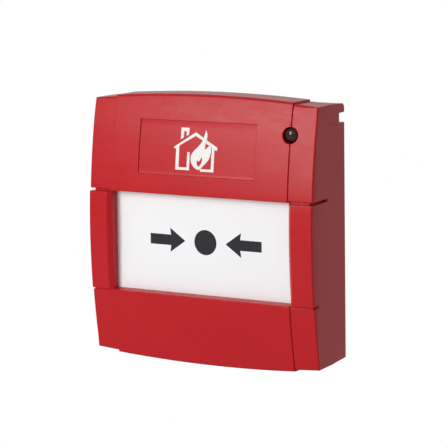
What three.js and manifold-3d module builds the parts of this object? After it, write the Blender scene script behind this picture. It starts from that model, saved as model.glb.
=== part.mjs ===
// Manual call point with a resettable element.
// A red cover hangs on two hooks over a white element. Pressed, the element tilts back, lets a striped
// flag drop into the window and works a switch. A key turned in the barrel below sets it again.
// Millimetres. +X is right, +Y goes back to the wall, +Z is up.
// The origin is the middle of the wall face of the mounting plate.
import * as THREE from 'three';
import { mergeVertices } from 'three/addons/utils/BufferGeometryUtils.js';
import Module from 'manifold-3d';

const wasm = await Module();
wasm.setup();

// General fits and walls
const gap = 0.3; // between pieces that rest on each other
const wall = 2.2; // cover wall

// Cover, outside
const coverWidth = 88;
const coverHeight = 94; // over the raised middle band
const coverDepth = 26.5; // wall to the crown of the bowed front
const frontSag = 5.1; // the front falls back this far from the crown to the corners
const edgeBow = 2; // the top and bottom edges rise this far from the corners to the middle
const sideBorder = 9; // from each side of the cover to the raised band and the window
const bandStep = 0.5; // the band stands this far in front of the corner panels
const bandRise = 0.6; // and this far above and below them
const draftSetback = 4.5; // crown of the front to where the sides begin to lean in
const sideDraft = 1.25; // each side leans in this far at the wall
const capBack = 10.2; // wall to the step behind the deep front part
const capStep = 3.3; // the front part stands this far above and below the skirt behind it
const skirtDraft = 0.5; // top and bottom of the skirt lean in this far at the wall
const skirtRound = 1; // along the skirt's top rear edge

// Cover, window and front details
const topBorder = 34.4; // top of the cover to the window
const bottomBorder = 25.4; // bottom of the cover to the window
const windowRound = 1.4; // slope along the two upright window edges
const lipWall = 1.6; // wall around the window, behind the front
const revealDepth = 5.2; // crown of the front to the face of the element
const breakHeight = 0.9; // groove between the corner panels and the side pads, at the window's top
const breakDepth = 1.6;
const breakSetback = 11.8; // the groove runs back along the side to this far behind the crown
const ledgeHeight = 0.5; // thin groove at the window's bottom
const ledgeDepth = 0.8;
const panelLeft = -24.15;
const panelWidth = 45.75;
const panelDrop = 9.15; // top of the cover to the sunk panel
const panelHeight = 18.55;
const panelDepth = 0.45;
const lampDrop = 12.1; // top of the cover to the middle of the lamp
const lampInset = 0.2; // the lamp sits this far inside the side line of the band
const lampRadius = 2.75;
const lampBossWall = 1.4;
const lensDome = 0.6;
const lensFlange = 1; // rim of the lens behind the boss
const lensFlangeThickness = 0.8;
const lampBossDepth = 1;
const notchHeight = 3.35; // notch in the rear edge of each side, and its drop from the skirt's top
const notchDepth = 4.5;
const lineReach = 11.5; // short line on the side in front of the notch
const lipSkin = 1.8; // skin left round the cored lips of the front part
const lipFrontWall = 3.2; // left in front of the cored lips

// Hinge at the top of the cover
const hingeRearGap = 0.9; // wall to the back of the hinge pins
const hingePinRadius = 0.8;
const hingeRise = 0.9; // cavity's top to the middle of the pins
const hookWall = 1.1;
const hookWidth = 8;
const hookX = 24; // middle of each hook
const hookRoom = 1; // beside each hook in its pocket
const pinSink = 0.1; // of the pin into the wall above it

// Mounting plate and chassis
const plateThickness = 2;
const plateInset = 0.6; // the plate's edge lies this far inside the chassis's
const cornerRound = 4; // in the front view of both
const fixingCentres = 60.3; // standard spacing of the wall box screws
const fixingSlotWidth = 4.4;
const fixingSlotLength = 8;
const fixingHeadWidth = 9; // room in the chassis for the heads of the wall box screws
const fixingHeadHeight = 13;
const chassisSidePlay = 0.95; // inside the cover, left and right
const chassisEndPlay = 1.5; // and above and below
const chassisFloor = 1.8;
const chassisRim = 1.6;
const chassisScrewInset = 6;
const entryWidth = 28; // cable entry
const entryHeight = 26;
const entryRise = 5.5; // bottom of the chassis to the cable entry
const entryRound = 3;

// Circuit board
const boardSetback = 8; // back of the carrier to the front of the board
const boardThickness = 1.6;
const boardSidePlay = 1; // inside the chassis's rim
const boardTopPlay = 0.6;
const boardTuck = 2.4; // the board reaches this far below the window
const boardScrewInset = 5;
const axialInset = 13; // side of the board to the middle of the resistors and the diode
const axialDrop = 15.9; // window's top to the first of them
const axialPitch = 5;
const resistorRadius = 1.1;
const resistorLength = 6;
const diodeRadius = 0.95;
const diodeLength = 4.6;
const capacitorDrop = 14.8; // top of the board to the capacitor
const bossWall = 1.6;
const bossSkin = 0.5; // left of the boss under the tips of its screw

// Element, carrier and pivot
const elementSideLap = 2; // the element reaches this far behind the cover on each side
const elementTopLap = 0.9;
const elementBottomLap = 3.4;
const elementThickness = 2;
const elementRound = 2;
const pegRadius = 1.5;
const pegTopInset = 12.7; // carrier's side to the upper pegs
const pegBottomInset = 5.2; // and to the lower pegs
const pegDrop = 4.8; // element's top to the upper pegs
const pegRise = 6; // element's lower edge to the lower pegs
const pegProud = 0.4; // of the carrier's back
const carrierThickness = 1.4;
const carrierInset = 1.8; // inside the element on each side
const carrierRib = 1.4;
const ribWidth = 1.2;
const ribPlaces = [-12, 0];
const pivotSetback = 1.3; // back of the element to the middle of the pivot
const pivotDrop = 6.4; // window's bottom to the middle of the pivot
const pivotPinRadius = 0.9;
const pivotSleeveRadius = 2;
const sleeveReach = 1.3; // the sleeve stands this far out of the carrier's sides
const earPlay = 0.5; // sleeve to the bearing ears
const earWidth = 2.4;
const earWall = 1.4;
const pressAngle = 4.5; // degrees from rest to fully pressed
const carrierTopInset = 0.4; // below the element's top
const switchRoom = 1; // beside the switch in the carrier's notch
const tailWidth = 5;
const tailTop = 0.4; // above the middle of the pivot
const tailDrop = 1.3; // and below it

// Flag
const flagInset = 3.2; // inside the window on each side
const flagRest = 0.4; // the raised flag's lower edge is this far above the window
const flagHeight = 7.1;
const flagPlay = 0.45; // in front of the element
const flagThickness = 1;
const flagDrop = 4.5;
const flagWebThickness = 1.5;
const legInset = 3.8; // flag's end to the middle of each leg
const legWidth = 3.2;
const legSetback = 1.9; // back of the carrier to the front of the legs
const legThickness = 1.6;
const rampDrop = 5.7; // window's top to the foot of the ramp under the front of each leg
const rampLip = 0.4; // the ramp reaches this far behind the legs
const rampRoot = 6; // of the carrier below the ramp
const rampSide = 0.6; // wall on each side of the leg's notch
const stemInset = 11.8; // flag's end to the middle of each stem
const stemSetback = 2.1; // back of the element to the middle of the stems
const stemRadius = 1.2;
const stemSpare = 0.5; // of the stem above the bridge when the flag is down

// Bridge over the flag
const springRoom = 7; // flag's top to the bridge
const bridgeThickness = 2;
const bridgeLip = 2.6; // bridge in front of the stems' middle
const bridgeScrewInset = 8.5; // side of the board to the middle of the screws
const bridgeScrewRise = 5.6;
const bridgeBar = 5; // depth of the bridge between the stems
const bridgeRibHeight = 4.5;
const bridgeRibWidth = 1.4;
const footHalf = 2.8;
const footThickness = 1.8;
const footTop = 4; // above the screw

// Springs
const flagWire = 0.5;
const flagSpringTurns = 5;
const resetWire = 0.45;
const resetSpringTurns = 2;

// Switch
const switchLeft = 6;
const switchDrop = 8.4; // window's top to the switch's lower face
const switchLength = 12.8;
const switchHeight = 6.5;
const switchThickness = 5.8;
const switchPinDrop = 1.5;
const switchPinPitch = 5.12;
const switchHolePitch = 8.45;
const switchHoleRadius = 0.9;
const switchHoleRise = 2.3;
const pinHalfWidth = 0.45;
const pinHalfSheet = 0.25;
const pinSeat = 1.2; // the pins reach this far into the switch
const plungerTravel = 0.7;
const leverAngle = 12; // degrees above level at rest
const leverTilt = 10; // degrees from rest to fully pressed
const leverShort = 0.8; // the lever is this much shorter than the switch
const leverWidth = 4;
const leverThickness = 0.3;
const leverInset = 0.9; // switch's left end to the lever's pivot
const rolledEnd = 0.6; // radius of the roll round the pivot
const plungerReach = 4; // lever's pivot to the plunger
const plungerHalf = 0.6;
const plungerDeep = 1; // half of the plunger's depth
const plungerSink = 2.2; // of the plunger's well in the switch
const tongueInset = 1.9; // lever's tip to the flag's tongue
const tongueWidth = 3.5;

// Terminals on the back of the board
const terminalCount = 4;
const terminalPitch = 5;
const terminalHeight = 10;
const terminalRise = 2; // board's lower edge to the terminals
const terminalDepth = 6.9;
const terminalFloor = 0.8;
const terminalRoof = 2.2; // over the clamps, round the screws' heads
const clampHalf = 1.6;
const clampHeight = 4.4;
const clampSheet = 0.6;
const clampNut = 1.2;
const clampPinHalf = 0.35;
const clampScrewRadius = 0.8;
const clampScrewHead = 1.6;
const clampHeadHeight = 1.2;
const clampHeadSink = 0.4;
const clampScrewLength = 3.8;
const slotHalf = 0.3; // half the width of the screws' slots

// Reset barrel
const barrelSetback = 6.5; // element's face to the middle of the barrel
const barrelRadius = 3.4;
const barrelRise = 2.4; // inside of the cover's bottom wall to the barrel's lower face
const bearingRise = 0.4; // barrel's lower face to the bearing
const bearingHeight = 3;
const bearingWall = 4.9; // on each side of the barrel
const clipWall = 1.4;
const clipScrewInset = 2.4;
const collarRim = 0.9;
const collarHeight = 0.5;
const spigotRadius = 1.9;
const camDrop = 2.4; // pivot to the top of the cam
const camThickness = 1.1;
const camReach = 4;
const camPad = 0.35; // the raised pad on the cam's nose, which lifts the carrier's tail
const keyHoleRadius = 4; // in the bottom of the cover
const camHub = 2.5;
const camNose = 1.2;
const keySlotLength = 5;
const keySlotWidth = 1.6;
const keySlotDepth = 2.5;

// Screws
const screwRadius = 1.3;
const screwHeadRadius = 2.4;
const screwHeadHeight = 1.5;
const clipScrewRadius = 0.8;
const clipScrewLength = 6.5;
const clipHeadRadius = 1.4;
const clipHeadHeight = 1.1;
const clipHeadSink = 2; // the clip screws' heads sit this far below the clip's face

// Places worked out from the sizes above
const windowWidth = coverWidth - 2 * sideBorder;
const bandWidth = windowWidth;
const windowTop = coverHeight / 2 - topBorder;
const windowBottom = bottomBorder - coverHeight / 2;
const draftStart = coverDepth - draftSetback;
const breakReach = coverDepth - breakSetback;
const cornerHeight = coverHeight - 2 * (bandRise + edgeBow);
const frontRadius = ((cornerHeight / 2) ** 2 + frontSag ** 2) / (2 * frontSag);
const frontCentre = frontRadius - coverDepth;
const edgeRadius = ((coverWidth / 2) ** 2 + edgeBow ** 2) / (2 * edgeBow);
const skirtHeight = coverHeight - 2 * capStep;
const skirtRear = skirtHeight / 2 - skirtDraft;
const cavityHalfHeight = skirtRear - wall;
const panelRight = panelLeft + panelWidth;
const panelTop = coverHeight / 2 - panelDrop;
const panelBottom = panelTop - panelHeight;
const lampX = bandWidth / 2 - lampInset;
const lampZ = coverHeight / 2 - lampDrop;
const notchTop = skirtHeight / 2 - notchHeight;
const notchBottom = notchTop - notchHeight;
const hingeY = -(hingeRearGap + hingePinRadius);
const hingeZ = cavityHalfHeight + hingeRise;
const chassisWidth = coverWidth - 2 * (sideDraft + wall + chassisSidePlay);
const chassisHeight = 2 * (cavityHalfHeight - chassisEndPlay);
const chassisBack = -(plateThickness + gap);
const chassisFront = chassisBack - chassisFloor;
const entryBottom = entryRise - chassisHeight / 2;
const entryTop = entryBottom + entryHeight;
const elementFront = revealDepth - coverDepth;
const elementBack = elementFront + elementThickness;
const elementWidth = windowWidth + 2 * elementSideLap;
const elementTop = windowTop + elementTopLap;
const elementBottom = windowBottom - elementBottomLap;
const carrierFront = elementBack + gap;
const carrierBack = carrierFront + carrierThickness;
const carrierWidth = elementWidth - 2 * carrierInset;
const pivotY = elementBack + pivotSetback;
const pivotZ = windowBottom - pivotDrop;
const boardFront = carrierBack + boardSetback;
const boardBack = boardFront + boardThickness;
const boardWidth = chassisWidth - 2 * (chassisRim + boardSidePlay);
const boardTop = chassisHeight / 2 - chassisRim - boardTopPlay;
const boardBottom = windowBottom - boardTuck;
const boardScrewX = boardWidth / 2 - boardScrewInset;
const boardScrewZ = boardBottom + boardScrewInset;
const boardScrewLength = chassisFront - bossSkin - boardFront;
const rimFront = boardFront - gap;
const flagWidth = windowWidth - 2 * flagInset;
const flagBottom = windowTop + flagRest;
const flagWebTop = flagBottom + flagHeight;
const flagBack = elementFront - flagPlay;
const flagFront = flagBack - flagThickness;
const legX = flagWidth / 2 - legInset;
const legFront = carrierBack + legSetback;
const legBack = legFront + legThickness;
const rampFoot = windowTop - rampDrop;
const rampTravel = (rampFoot - pivotZ - flagDrop) * Math.sin(THREE.MathUtils.degToRad(pressAngle));
const rampSlope = flagDrop / rampTravel;
const stemX = flagWidth / 2 - stemInset;
const stemY = elementBack + stemSetback;
const bridgeBottom = flagWebTop + springRoom;
const bridgeFront = stemY - bridgeLip;
const bridgeScrewX = boardWidth / 2 - bridgeScrewInset;
const bridgeScrewZ = bridgeBottom + bridgeScrewRise;
const stemTop = bridgeBottom + bridgeThickness + flagDrop + stemSpare;
const switchBottom = windowTop - switchDrop;
const switchTop = switchBottom + switchHeight;
const switchBack = boardFront - gap;
const leverLength = switchLength - leverShort;
const tongueEnd = leverLength - tongueInset; // from the lever's pivot
const switchFront = switchBack - switchThickness;
const terminalBottom = boardBottom + terminalRise;
const terminalTop = terminalBottom + terminalHeight;
const barrelY = elementFront + barrelSetback;
const barrelBottom = barrelRise - cavityHalfHeight;
const bearingBottom = barrelBottom + bearingRise;
const bearingTop = bearingBottom + bearingHeight;
const bearingWidth = 2 * (barrelRadius + gap + bearingWall);
const clipFront = barrelY - barrelRadius - gap - clipWall;
const clipScrewX = bearingWidth / 2 - clipScrewInset;
const collarTop = bearingTop + gap + collarHeight;
const camTop = pivotZ - camDrop;
const past = 5; // cutting shapes run past the surface by this much
const bite = 0.5; // joined shapes run into each other by this much
const frontFacet = THREE.MathUtils.degToRad(1.5); // one flat of the bowed front, seen from its axis

// Finishes
const redPlastic = finish(0xb02a34, 0.42);
const whitePlastic = finish(0xf1f2f2, 0.5);
const blackPlastic = finish(0x26282b, 0.55);
const greyPlastic = finish(0x8b9096, 0.55);
const yellowPlastic = finish(0xf0c419, 0.5);
const lensPlastic = finish(0x4a0a10, 0.12);
const boardGreen = finish(0x1f5c3a, 0.5);
const terminalGreen = finish(0x2f8a4e, 0.5);
const steel = finish(0xb9bcc0, 0.3, 1);
const brass = finish(0xc9a25a, 0.35, 1);
const ceramic = finish(0xd8b98a, 0.6);
const clearRed = finish(0xc8202a, 0.15);

function finish(colour, roughness, metalness = 0) {
  return new THREE.MeshStandardMaterial({ color: colour, roughness, metalness });
}

// Solids

function toSolid(geometry) {
  const bare = new THREE.BufferGeometry();
  bare.setAttribute('position', geometry.getAttribute('position').clone());
  if (geometry.index) bare.setIndex(geometry.index.clone());
  const merged = mergeVertices(bare, 1e-4);
  const corners = merged.index.array;
  const triangles = [];
  for (let i = 0; i < corners.length; i += 3) {
    const [a, b, c] = corners.slice(i, i + 3);
    if (a !== b && b !== c && c !== a) triangles.push(a, b, c);
  }
  return new wasm.Manifold(new wasm.Mesh({
    numProp: 3,
    vertProperties: Float32Array.from(merged.getAttribute('position').array),
    triVerts: Uint32Array.from(triangles),
  }));
}

function makePiece(name, solid, material, position = [0, 0, 0]) {
  const result = solid.getMesh();
  const geometry = new THREE.BufferGeometry();
  geometry.setAttribute('position', new THREE.BufferAttribute(result.vertProperties, 3));
  geometry.setIndex(new THREE.BufferAttribute(result.triVerts, 1));
  geometry.computeVertexNormals();
  const mesh = new THREE.Mesh(geometry, material);
  mesh.name = name;
  mesh.position.set(...position);
  return mesh;
}

function joined(solids) {
  return solids.reduce((whole, solid) => whole.add(solid));
}

function cutBy(body, tools) {
  return tools.reduce((rest, tool) => rest.subtract(tool), body);
}

function block(x, y, z) {
  const geometry = new THREE.BoxGeometry(x[1] - x[0], y[1] - y[0], z[1] - z[0]);
  geometry.translate((x[0] + x[1]) / 2, (y[0] + y[1]) / 2, (z[0] + z[1]) / 2);
  return toSolid(geometry);
}

function rodX(radius, x, y, z, sides = 20) {
  const geometry = new THREE.CylinderGeometry(radius, radius, x[1] - x[0], sides);
  geometry.rotateZ(-Math.PI / 2);
  geometry.translate((x[0] + x[1]) / 2, y, z);
  return toSolid(geometry);
}

function rodY(radius, y, x, z, sides = 20) {
  const geometry = new THREE.CylinderGeometry(radius, radius, y[1] - y[0], sides);
  geometry.translate(x, (y[0] + y[1]) / 2, z);
  return toSolid(geometry);
}

function rodZ(radius, z, x, y, sides = 20) {
  const geometry = new THREE.CylinderGeometry(radius, radius, z[1] - z[0], sides);
  geometry.rotateX(Math.PI / 2);
  geometry.translate(x, y, (z[0] + z[1]) / 2);
  return toSolid(geometry);
}

function shapeOf(points) {
  return new THREE.Shape(points.map(([a, b]) => new THREE.Vector2(a, b)));
}

function extruded(shape, depth, curveSegments) {
  return new THREE.ExtrudeGeometry(shape, { depth, bevelEnabled: false, curveSegments });
}

// A profile drawn in Y and Z, swept along X
function sweepX(shape, x, curveSegments = 8) {
  const geometry = extruded(shape, x[1] - x[0], curveSegments);
  geometry.rotateX(Math.PI / 2);
  geometry.rotateZ(Math.PI / 2);
  geometry.translate(x[0], 0, 0);
  return toSolid(geometry);
}

// A profile drawn in X and Z, swept along Y
function sweepY(shape, y, curveSegments = 8) {
  const geometry = extruded(shape, y[1] - y[0], curveSegments);
  geometry.rotateX(Math.PI / 2);
  geometry.translate(0, y[1], 0);
  return toSolid(geometry);
}

// A profile drawn in X and Y, swept along Z
function sweepZ(shape, z, curveSegments = 8) {
  const geometry = extruded(shape, z[1] - z[0], curveSegments);
  geometry.translate(0, 0, z[0]);
  return toSolid(geometry);
}

function roundedRectangle(left, right, bottom, top, radius) {
  const shape = new THREE.Shape();
  shape.absarc(right - radius, top - radius, radius, 0, Math.PI / 2);
  shape.absarc(left + radius, top - radius, radius, Math.PI / 2, Math.PI);
  shape.absarc(left + radius, bottom + radius, radius, Math.PI, 1.5 * Math.PI);
  shape.absarc(right - radius, bottom + radius, radius, 1.5 * Math.PI, 2 * Math.PI);
  return shape;
}

// A round-wire helix about the Z axis with straight ends one wire thick
function coilSpring(meanRadius, wire, turns, bottom, top) {
  const stepsPerTurn = 8;
  const steps = turns * stepsPerTurn;
  const rise = top - bottom - wire;
  const points = [];
  for (let i = 0; i <= steps; i += 1) {
    const angle = (2 * Math.PI * i) / stepsPerTurn;
    const z = bottom + wire / 2 + (rise * i) / steps;
    points.push(new THREE.Vector3(meanRadius * Math.cos(angle), meanRadius * Math.sin(angle), z));
  }
  const lead = points[0].clone().add(new THREE.Vector3(0, -wire, 0));
  const trail = points[steps].clone().add(new THREE.Vector3(0, wire, 0));
  return toSolid(tubeAlong([lead, ...points, trail], wire / 2, 5));
}

// A closed tube through a list of points
function tubeAlong(route, radius, sides) {
  const positions = [];
  const index = [];
  route.forEach((point, i) => {
    const before = route[Math.max(i - 1, 0)];
    const after = route[Math.min(i + 1, route.length - 1)];
    const along = after.clone().sub(before).normalize();
    const across = new THREE.Vector3(0, 0, 1).cross(along).normalize();
    const up = along.clone().cross(across);
    for (let side = 0; side < sides; side += 1) {
      const angle = (2 * Math.PI * side) / sides;
      const corner = point.clone();
      corner.addScaledVector(across, radius * Math.cos(angle));
      corner.addScaledVector(up, radius * Math.sin(angle));
      positions.push(corner.x, corner.y, corner.z);
    }
  });
  for (let i = 0; i + 1 < route.length; i += 1) {
    for (let side = 0; side < sides; side += 1) {
      const next = (side + 1) % sides;
      const [a, b] = [i * sides + side, i * sides + next];
      index.push(a, b, b + sides, a, b + sides, a + sides);
    }
  }
  const last = (route.length - 1) * sides;
  for (let side = 1; side + 1 < sides; side += 1) {
    index.push(0, side + 1, side);
    index.push(last, last + side, last + side + 1);
  }
  const geometry = new THREE.BufferGeometry();
  geometry.setAttribute('position', new THREE.Float32BufferAttribute(positions, 3));
  geometry.setIndex(index);
  return geometry;
}

// Cover

function sideAt(y) {
  return coverWidth / 2 - sideDraft * Math.min(Math.max((y + draftStart) / draftStart, 0), 1);
}

// Everything behind the bowed front, less an inset
function behindFront(inset, x) {
  const reach = coverHeight / 2 + past;
  const radius = frontRadius - inset;
  const facets = Math.ceil(Math.asin(reach / frontRadius) / frontFacet);
  const spread = facets * frontFacet;
  const profile = new THREE.Shape();
  profile.moveTo(past, -radius * Math.sin(spread));
  profile.lineTo(past, radius * Math.sin(spread));
  profile.absarc(frontCentre, 0, radius, Math.PI - spread, Math.PI + spread);
  return sweepX(profile, x, facets);
}

// The front view of the cover with its bowed top and bottom edges
function bowedOutline(halfWidth, inset) {
  const radius = edgeRadius - inset;
  const centre = edgeRadius - coverHeight / 2;
  const start = Math.acos(halfWidth / radius);
  const shape = new THREE.Shape();
  shape.absarc(0, -centre, radius, start, Math.PI - start);
  shape.absarc(0, centre, radius, Math.PI + start, 2 * Math.PI - start);
  return shape;
}

// The plan of the cover between its leaning sides
function planOutline(yFront, yBack, inset) {
  const points = [];
  for (const y of [yBack, -draftStart, yFront]) {
    if (y >= yFront && y <= yBack) points.push([sideAt(y) - inset, y]);
  }
  return shapeOf([...points, ...points.map(([x, y]) => [-x, y]).reverse()]);
}

function frontPart() {
  const reach = coverHeight / 2 + past;
  const yFront = -coverDepth - past;
  const plan = sweepZ(planOutline(yFront, -capBack, 0), [-reach, reach]);
  const whole = [-coverWidth / 2 - past, coverWidth / 2 + past];
  const corners = sweepY(bowedOutline(coverWidth / 2, bandRise), [yFront, -capBack])
    .intersect(behindFront(bandStep, whole)).intersect(plan);
  const band = sweepY(bowedOutline(bandWidth / 2, 0), [yFront, -capBack])
    .intersect(behindFront(0, whole));
  const pads = block(whole, [yFront, -capBack], [windowBottom, windowTop])
    .intersect(behindFront(0, whole)).intersect(plan);
  return joined([corners, band, pads]);
}

function skirt() {
  const plan = sweepZ(planOutline(-capBack - bite, -gap, 0), [-coverHeight / 2, coverHeight / 2]);
  const half = skirtHeight / 2;
  const profile = shapeOf([
    [-capBack - bite, -half],
    [-capBack, -half],
    [-gap, -skirtRear],
    [-gap, skirtRear - skirtRound],
    [-gap - skirtRound, skirtRear],
    [-capBack, half],
    [-capBack - bite, half],
  ]);
  return sweepX(profile, [-coverWidth / 2, coverWidth / 2]).intersect(plan);
}

function coverCavity() {
  const z = [-cavityHalfHeight, cavityHalfHeight];
  const plan = sweepZ(planOutline(-coverDepth, 0, wall), z);
  const open = block([-coverWidth / 2, coverWidth / 2], [-coverDepth, past], z);
  const across = [-coverWidth / 2, coverWidth / 2];
  const behind = sweepZ(shapeOf([
    [-sideAt(0) + wall, -gap * 2], [sideAt(0) - wall, -gap * 2],
    [sideAt(0) - wall, past], [-sideAt(0) + wall, past],
  ]), z);
  return plan.add(behind).intersect(open).intersect(behindFront(wall, across));
}

// Hollows that keep the deep lips of the front part at an even wall, open towards the wall
function lipCores() {
  const y = [frontSag + lipFrontWall - coverDepth, -capBack + past];
  const crescent = sweepY(bowedOutline(bandWidth / 2 - lipSkin, lipSkin), y)
    .subtract(block([-coverWidth, coverWidth], [y[0] - past, y[1] + past], [-skirtHeight / 2, skirtHeight / 2]));
  const keyBoss = rodZ(keyHoleRadius + lipSkin, [-coverHeight / 2, -cavityHalfHeight], 0, barrelY);
  return crescent.subtract(keyBoss);
}

function windowWalls() {
  const x = windowWidth / 2 + lipWall;
  const frame = block([-x, x], [-coverDepth + wall / 2, elementFront - gap],
    [windowBottom - lipWall, windowTop + lipWall]);
  const flagRoom = block([-windowWidth / 2, windowWidth / 2], [flagFront - gap, 0],
    [windowTop - past, windowTop + past]);
  return frame.intersect(behindFront(wall / 2, [-x, x])).subtract(flagRoom);
}

// A ring about the axis of the bowed front, so that its cut follows the bow
function slopedEdge(side) {
  const x = side * windowWidth / 2;
  const edge = [
    [frontRadius - windowRound, x],
    [frontRadius + 1, x + side * (windowRound + 1)],
    [frontRadius + 1, x - side * 2],
    [frontRadius - windowRound, x - side * 2],
  ];
  const profile = [...edge, edge[0]].map(([radius, along]) => new THREE.Vector2(radius, along));
  if (side > 0) profile.reverse();
  const geometry = new THREE.LatheGeometry(profile, Math.round((2 * Math.PI) / frontFacet));
  geometry.rotateZ(-Math.PI / 2);
  geometry.translate(0, frontCentre, 0);
  return toSolid(geometry).intersect(block([-coverWidth / 2, coverWidth / 2],
    [-coverDepth - past, -draftStart + wall], [windowBottom, windowTop]));
}

function frontCuts() {
  const yFront = -coverDepth - past;
  const window = block([-windowWidth / 2, windowWidth / 2], [yFront, elementFront],
    [windowBottom, windowTop]);
  const across = [-coverWidth, coverWidth];
  const panel = block([panelLeft, panelRight], [yFront, 0], [panelBottom, panelTop])
    .subtract(behindFront(panelDepth, across));
  const lampHole = rodY(lampRadius, [yFront, -draftStart + wall * 2], lampX, lampZ, 32);
  const keyHole = rodZ(keyHoleRadius, [-coverHeight / 2 - past, -cavityHalfHeight + bite], 0, barrelY, 32);
  return [window, panel, lampHole, keyHole, slopedEdge(-1), slopedEdge(1)];
}

function sideCuts(side) {
  const yFront = -coverDepth - past;
  const half = coverWidth / 2;
  const inner = windowWidth / 2 + gap;
  const span = (from, to) => (side > 0 ? [from, to] : [-to, -from]);
  const across = [-coverWidth, coverWidth];
  const breakZ = [windowTop - breakHeight / 2, windowTop + breakHeight / 2];
  const breakEnd = -breakReach - breakHeight / 2;
  const ledgeZ = [windowBottom - ledgeHeight, windowBottom];
  return [
    block(span(inner, half + past), [yFront, 0], breakZ).subtract(behindFront(breakDepth, across)),
    block(span(half - breakDepth, half + past), [yFront, breakEnd], breakZ),
    rodX(breakHeight / 2, span(half - breakDepth, half + past), breakEnd, windowTop, 16),
    block(span(inner, half + past), [yFront, 0], ledgeZ).subtract(behindFront(ledgeDepth, across)),
    block(span(half - ledgeDepth, half + past), [yFront, -draftStart], ledgeZ),
    block(span(half - wall * 2, half + past), [-notchDepth, past], [notchBottom, notchTop]),
    block(span(sideAt(-lineReach) - gap, half), [-lineReach, -notchDepth + bite],
      [notchBottom + gap, notchBottom + 2 * gap]),
  ];
}

// A pocket in the top wall with a pin across it for each hook of the chassis
function hingePocket(side) {
  const half = hookWidth / 2 + hookRoom;
  const reach = hingePinRadius + gap + hookWall + gap;
  return block([side * hookX - half, side * hookX + half], [hingeY - reach, past],
    [cavityHalfHeight - bite, hingeZ + hingePinRadius - pinSink]);
}

function hingePin(side) {
  const half = hookWidth / 2 + hookRoom + bite;
  return rodX(hingePinRadius, [side * hookX - half, side * hookX + half], hingeY, hingeZ, 20);
}

function frontCover() {
  const lampBoss = rodY(lampRadius + lampBossWall, [frontYAt(lampZ) + wall / 2, lampSeat()], lampX, lampZ, 32);
  const shell = frontPart().add(skirt()).subtract(coverCavity()).subtract(lipCores())
    .add(windowWalls()).add(lampBoss);
  const cuts = [...frontCuts(), ...sideCuts(-1), ...sideCuts(1), hingePocket(-1), hingePocket(1)];
  return cutBy(shell, cuts).add(hingePin(-1)).add(hingePin(1));
}

// Rear face of the boss round the lamp's hole
function lampSeat() {
  return frontYAt(lampZ) + wall + lampBossDepth;
}

function frontYAt(z) {
  return frontCentre - Math.sqrt(frontRadius ** 2 - z ** 2);
}

// A domed plug with a flange behind the cover wall
function lampLens() {
  const face = frontYAt(lampZ) + bandStep;
  const seat = lampSeat() + gap;
  const radius = lampRadius - gap;
  const profile = [
    [0, face],
    [radius * 0.6, face + lensDome / 4],
    [radius, face + lensDome],
    [radius, seat],
    [lampRadius + lensFlange, seat],
    [lampRadius + lensFlange, seat + lensFlangeThickness],
    [0, seat + lensFlangeThickness],
  ].map(([r, y]) => new THREE.Vector2(r, y));
  const geometry = new THREE.LatheGeometry(profile, 32);
  geometry.translate(lampX, 0, lampZ);
  return toSolid(geometry);
}

// Mounting plate and chassis

function mountingPlate() {
  const halfX = chassisWidth / 2 - plateInset;
  const halfZ = chassisHeight / 2 - plateInset;
  const plate = sweepY(roundedRectangle(-halfX, halfX, -halfZ, halfZ, cornerRound), [-plateThickness, 0], 3);
  const cuts = [cableEntry([-past, past]), ...chassisScrewPlaces().map(([x, z]) =>
    rodY(screwRadius + gap, [-past, past], x, z, 16))];
  for (const side of [-1, 1]) {
    const x = (side * fixingCentres) / 2;
    const slot = roundedRectangle(x - fixingSlotWidth / 2, x + fixingSlotWidth / 2,
      -fixingSlotLength / 2, fixingSlotLength / 2, fixingSlotWidth / 2);
    cuts.push(sweepY(slot, [-past, past], 3));
  }
  return cutBy(plate, cuts);
}

function cableEntry(y) {
  return sweepY(roundedRectangle(-entryWidth / 2, entryWidth / 2, entryBottom, entryTop, entryRound), y, 3);
}

function chassisScrewPlaces() {
  const x = chassisWidth / 2 - chassisScrewInset;
  const z = chassisHeight / 2 - chassisScrewInset;
  return [[-x, -z], [x, -z], [0, z]];
}

function bearingBlock(y) {
  const x = bearingWidth / 2;
  return block([-x, x], y, [bearingBottom, bearingTop])
    .subtract(rodZ(barrelRadius + gap, [bearingBottom - past, bearingTop + past], 0, barrelY, 32));
}

function earInner() {
  return carrierWidth / 2 + sleeveReach + earPlay;
}

function pivotEar(side) {
  const inner = earInner();
  const x = side > 0 ? [inner, inner + earWidth] : [-inner - earWidth, -inner];
  const radius = pivotPinRadius + gap + earWall;
  const ear = block(x, [pivotY, chassisFront + bite], [pivotZ - radius, pivotZ + radius])
    .add(rodX(radius, x, pivotY, pivotZ));
  return ear.subtract(rodX(pivotPinRadius + gap, [x[0] - past, x[1] + past], pivotY, pivotZ));
}

// A J seen from the side: an upright leg and a trough under the cover's hinge pin
function hingeHook(side) {
  const inner = hingePinRadius + gap;
  const outer = inner + hookWall;
  const start = THREE.MathUtils.degToRad(-120);
  const end = THREE.MathUtils.degToRad(-75);
  const foot = chassisHeight / 2 - bite;
  const profile = new THREE.Shape();
  profile.moveTo(hingeY - outer, foot);
  profile.lineTo(hingeY - inner, foot);
  profile.lineTo(hingeY + outer * Math.cos(start), foot);
  profile.absarc(hingeY, hingeZ, outer, start, end, false);
  profile.absarc(hingeY, hingeZ, inner, end, -Math.PI, true);
  profile.lineTo(hingeY - outer, hingeZ);
  const x = side * hookX;
  return sweepX(profile, [x - hookWidth / 2, x + hookWidth / 2], 6);
}

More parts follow.
